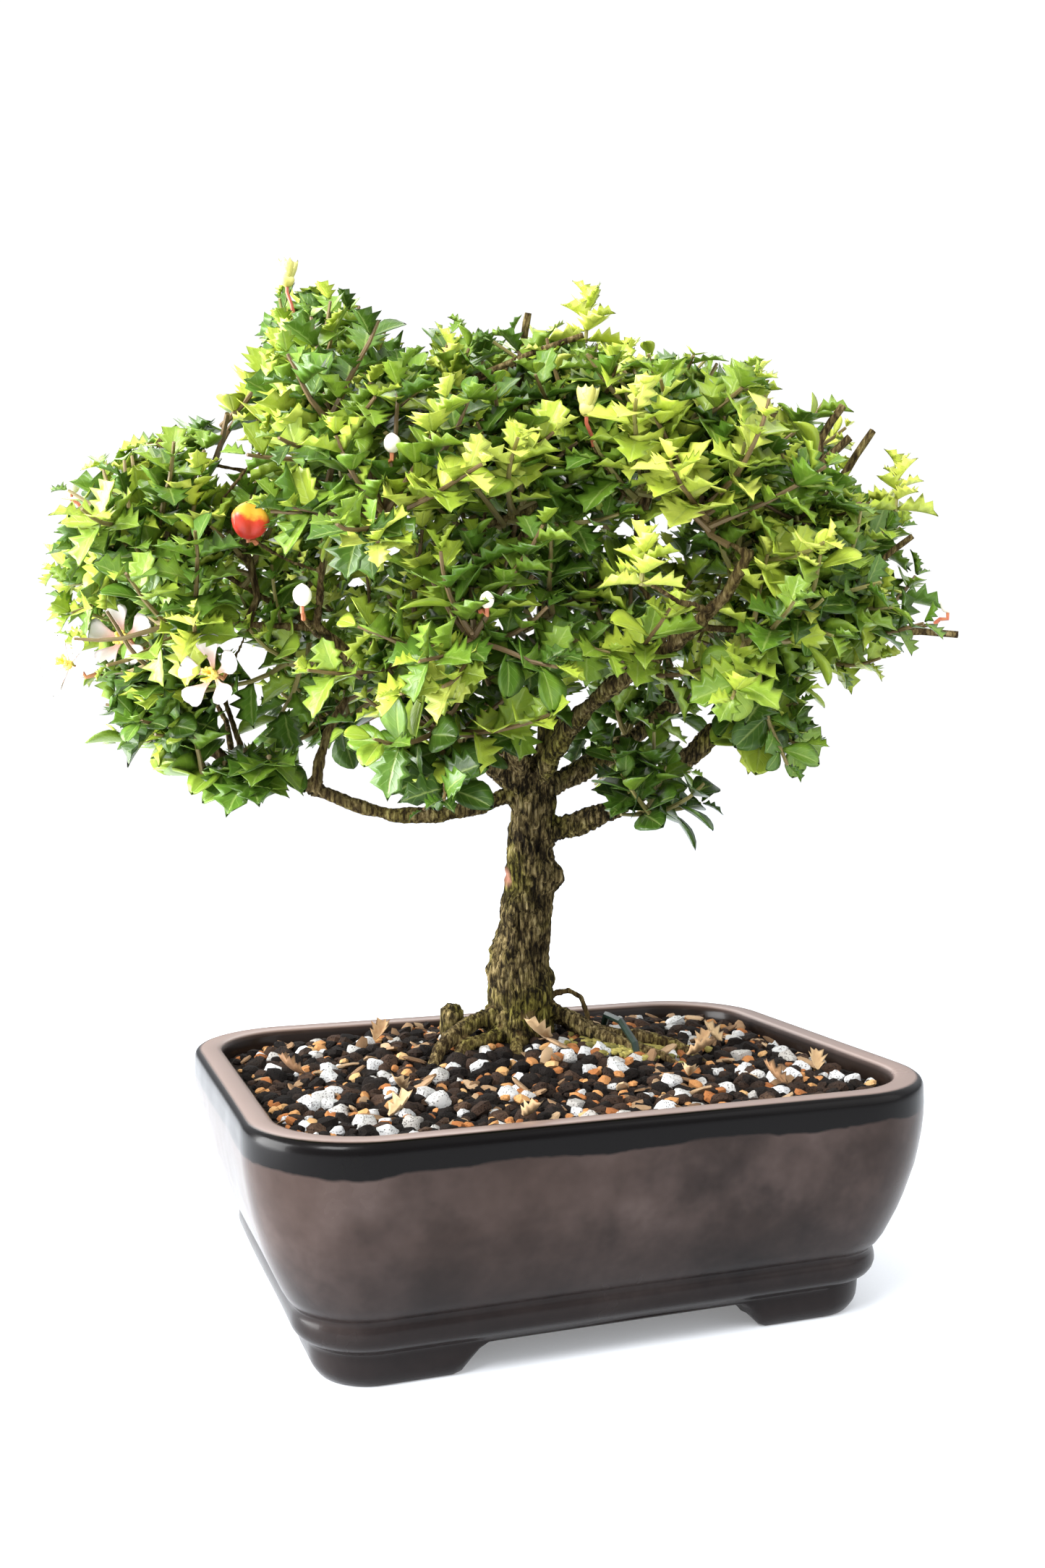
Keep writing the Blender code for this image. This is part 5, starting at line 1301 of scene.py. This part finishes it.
def make_pruned_twigs(look, wood_tree):
    """Bare brown twigs cut off short, each down to the wood that carries it."""
    runs = []
    for tip, lower, radius in PRUNED:
        top, low = in_tree(*tip), in_tree(*lower)
        base = wood_tree.find_nearest(low - UP * 0.012)[0]
        bow = low.lerp(base, 0.5) + (low - top).normalized() * 0.003
        thick = radius * MM
        runs.append(([base, bow, low, low.lerp(top, 0.5) + UP * 0.0006, top],
                     [thick * 1.15, thick * 1.05, thick, thick * 0.9, thick * 0.85]))
    twigs = tubes(runs, "pruned_twigs", 0.5, 2)
    edit(twigs, ("subdivide", {"number_cuts": 1}))
    for vert in twigs.data.vertices:
        vert.co += vert.normal * fractal(vert.co, 500.0) * 0.00022
    mark_evenly(twigs.data, 0.0, "painted_fissure_shade", "scar")
    mark_evenly(twigs.data, 0.6, "young")
    return stand_in(give(smooth(twigs, 60.0), look), "bark")


def make_root_knuckle(look):
    """A short old root that stands out of the soil, left of the trunk, with a knobbly end."""
    route = [in_tree(*place) for place in ((-24.5, 1, -9), (-26, 0.5, -2), (-26.2, 0, 3), (-25.8, -1, 7.5),
                                           (-25.5, -1, 9.4))]
    root = tubes([(route, [0.0046, 0.0043, 0.0040, 0.0038, 0.0022])], "root_knuckle", 0.5, 4)
    edit(root, ("subdivide", {"number_cuts": 2}))
    for vert in root.data.vertices:
        vert.co += vert.normal * (fractal(vert.co, 260.0) * 0.0007 + fractal(vert.co, 900.0) * 0.0003)
    mark_evenly(root.data, 0.0, "young", "painted_fissure_shade", "scar")
    return stand_in(give(smooth(root), look), "bark")


def make_tie(looks):
    """The coated wire keeps its solid, with a better finish."""
    for name, look in (("tie_wire", "wire"), ("drain_mesh_left", "weave"), ("drain_mesh_right", "weave")):
        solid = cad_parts[name]
        for slot in solid.material_slots:
            slot.material = looks[look]


# Stage


# Light of the studio's walls from floor to ceiling, and the lamps: name, place, size and power
SKY = ((0.42, (0.55, 0.57, 0.60)), (0.52, (0.24, 0.25, 0.27)), (0.66, (0.80, 0.82, 0.86)), (1.0, (1.0, 1.0, 1.0)))
SKY_STRENGTH = 1.30
LAMPS = (("key", (-0.75, -0.70, 1.05), 0.5, 24.0), ("fill", (0.9, -0.8, 0.6), 1.0, 5.0),
         ("back", (0.1, 0.9, 0.9), 0.9, 9.0), ("side", (-1.0, 0.20, 0.30), 0.7, 34.0))
LIT_POINT = Vector((0.0, 0.0, 0.14))


def make_stage():
    clear_selection()
    bpy.ops.mesh.primitive_plane_add(size=6.0, location=(0.0, 0.0, 0.0))
    floor = named("studio_floor")
    paper = Surface("pale_floor", 0.9)
    grain = paper.group(SPECKLE, Coarse=30.0, Fine=900.0)
    paper.colour(ramp(paper.tree, grain["Grain"], ((0.2, (0.67, 0.70, 0.74)), (0.8, (0.72, 0.75, 0.79)))))
    put(paper.shader, Emission_Color=(1.0, 1.0, 1.0, 1.0), Emission_Strength=0.22)
    give(floor, paper.material)
    world = bpy.data.worlds.new("studio")
    world.use_nodes = True
    tree = world.node_tree
    height = node(tree, "ShaderNodeSeparateXYZ")
    tree.links.new(node(tree, "ShaderNodeTexCoord").outputs["Generated"], height.inputs[0])
    share = sums(tree, "MULTIPLY_ADD", height.outputs["Z"], 0.5, 0.5)
    glow = ramp(tree, share, SKY)
    seen = node(tree, "ShaderNodeLightPath").outputs["Is Camera Ray"]
    tree.links.new(mixed(tree, seen, glow, (0.80, 0.80, 0.80)), tree.nodes["Background"].inputs["Color"])
    tree.nodes["Background"].inputs["Strength"].default_value = SKY_STRENGTH
    bpy.context.scene.view_settings.view_transform = "Standard"
    bpy.context.scene.world = world
    for name, place, size, power in LAMPS:
        lamp = bpy.data.lights.new(name, "AREA")
        lamp.size, lamp.energy = size, power
        stand = bpy.data.objects.new(name, lamp)
        bpy.context.scene.collection.objects.link(stand)
        stand.location = place
        stand.rotation_euler = (Vector(place) - LIT_POINT).to_track_quat("Z", "Y").to_euler()
    view = bpy.data.cameras.new("camera")
    view.lens, view.sensor_width, view.sensor_fit = CAMERA_LENS, CAMERA_SENSOR, "AUTO"
    view.clip_start = 0.01
    camera = bpy.data.objects.new("camera", view)
    bpy.context.scene.collection.objects.link(camera)
    camera.location = POT_MIDDLE + CAMERA_PLACE
    camera.rotation_euler = CAMERA_BACK.to_track_quat("Z", "Y").to_euler()
    bpy.context.scene.camera = camera


# Small finishes: key, name, roughness, other values, and the colours from dark to light
PLAIN_LOOKS = (
    ("stamen", "stamens", 0.6, {},
     ((0.1, (0.55, 0.40, 0.03)), (0.6, (0.85, 0.62, 0.06)), (1.0, (0.92, 0.80, 0.30)))),
    ("stalk", "red_stalk", 0.5, {},
     ((0.1, (0.20, 0.035, 0.02)), (0.6, (0.42, 0.10, 0.05)), (1.0, (0.50, 0.30, 0.10)))),
    ("bud", "bud_skin", 0.5, {},
     ((0.1, (0.60, 0.50, 0.30)), (0.6, (0.86, 0.80, 0.68)), (1.0, (0.92, 0.88, 0.80)))),
    ("cup", "sepal", 0.6, {},
     ((0.1, (0.34, 0.26, 0.06)), (0.6, (0.62, 0.56, 0.14)), (1.0, (0.70, 0.68, 0.26)))),
    ("fruit", "ripe_skin", 0.42, {"coarse": 210.0, "Coat_Weight": 0.08},
     ((0.35, (0.40, 0.012, 0.010)), (0.72, (0.62, 0.045, 0.018)), (0.86, (0.78, 0.42, 0.04)))),
    ("dry", "dry_leaf", 0.8, {},
     ((0.1, (0.10, 0.045, 0.02)), (0.6, (0.28, 0.15, 0.065)), (1.0, (0.46, 0.32, 0.17)))),
    ("moss", "moss", 0.95, {"coarse": 900.0, "depth": 0.0006},
     ((0.1, (0.05, 0.055, 0.010)), (0.6, (0.20, 0.17, 0.035)), (1.0, (0.40, 0.34, 0.09)))),
    ("wire", "wire_skin", 0.35, {},
     ((0.1, (0.004, 0.012, 0.008)), (0.6, (0.010, 0.030, 0.020)), (1.0, (0.03, 0.06, 0.045)))),
)


def make_looks():
    looks = {
        "top": leaf_material("leaf_top", LEAF_TOP, 0.34, 0.35, 0.10),
        "under": leaf_material("leaf_underside", LEAF_UNDER, 0.62, 0.25, 0.0),
        "twig": twig_material(),
        "petal": petal_material(),
    }
    for key, name, roughness, values, stops in PLAIN_LOOKS:
        looks[key] = plain_material(name, stops, roughness, **values)
    looks["weave"] = mesh_material()
    return looks


def main():
    make_stage()
    looks = make_looks()
    make_pot()
    wood = make_wood()
    wood_tree = bvh_of(wood)
    make_soil()
    make_grains(wood_tree)
    models = leaf_models((looks["top"], looks["under"]))
    make_crown(models, wood_tree, looks["twig"])
    for number in range(1, 6):
        make_rosette(number, "pale_shoot_" + str(number), models, looks["twig"], wood_tree)
    make_hanging_leaves(models, looks["twig"], wood_tree)
    for number in (1, 2, 3):
        make_bloom(number, looks, wood_tree)
    make_buds(looks, wood_tree)
    make_seed_heads(looks, wood_tree)
    make_fruit(looks, wood_tree)
    make_small_litter(looks)
    make_root_knuckle(wood.data.materials[0])
    make_pruned_twigs(wood.data.materials[0], wood_tree)
    make_tie(looks)
    for model in models:
        discard(model)


main()
clear_selection()
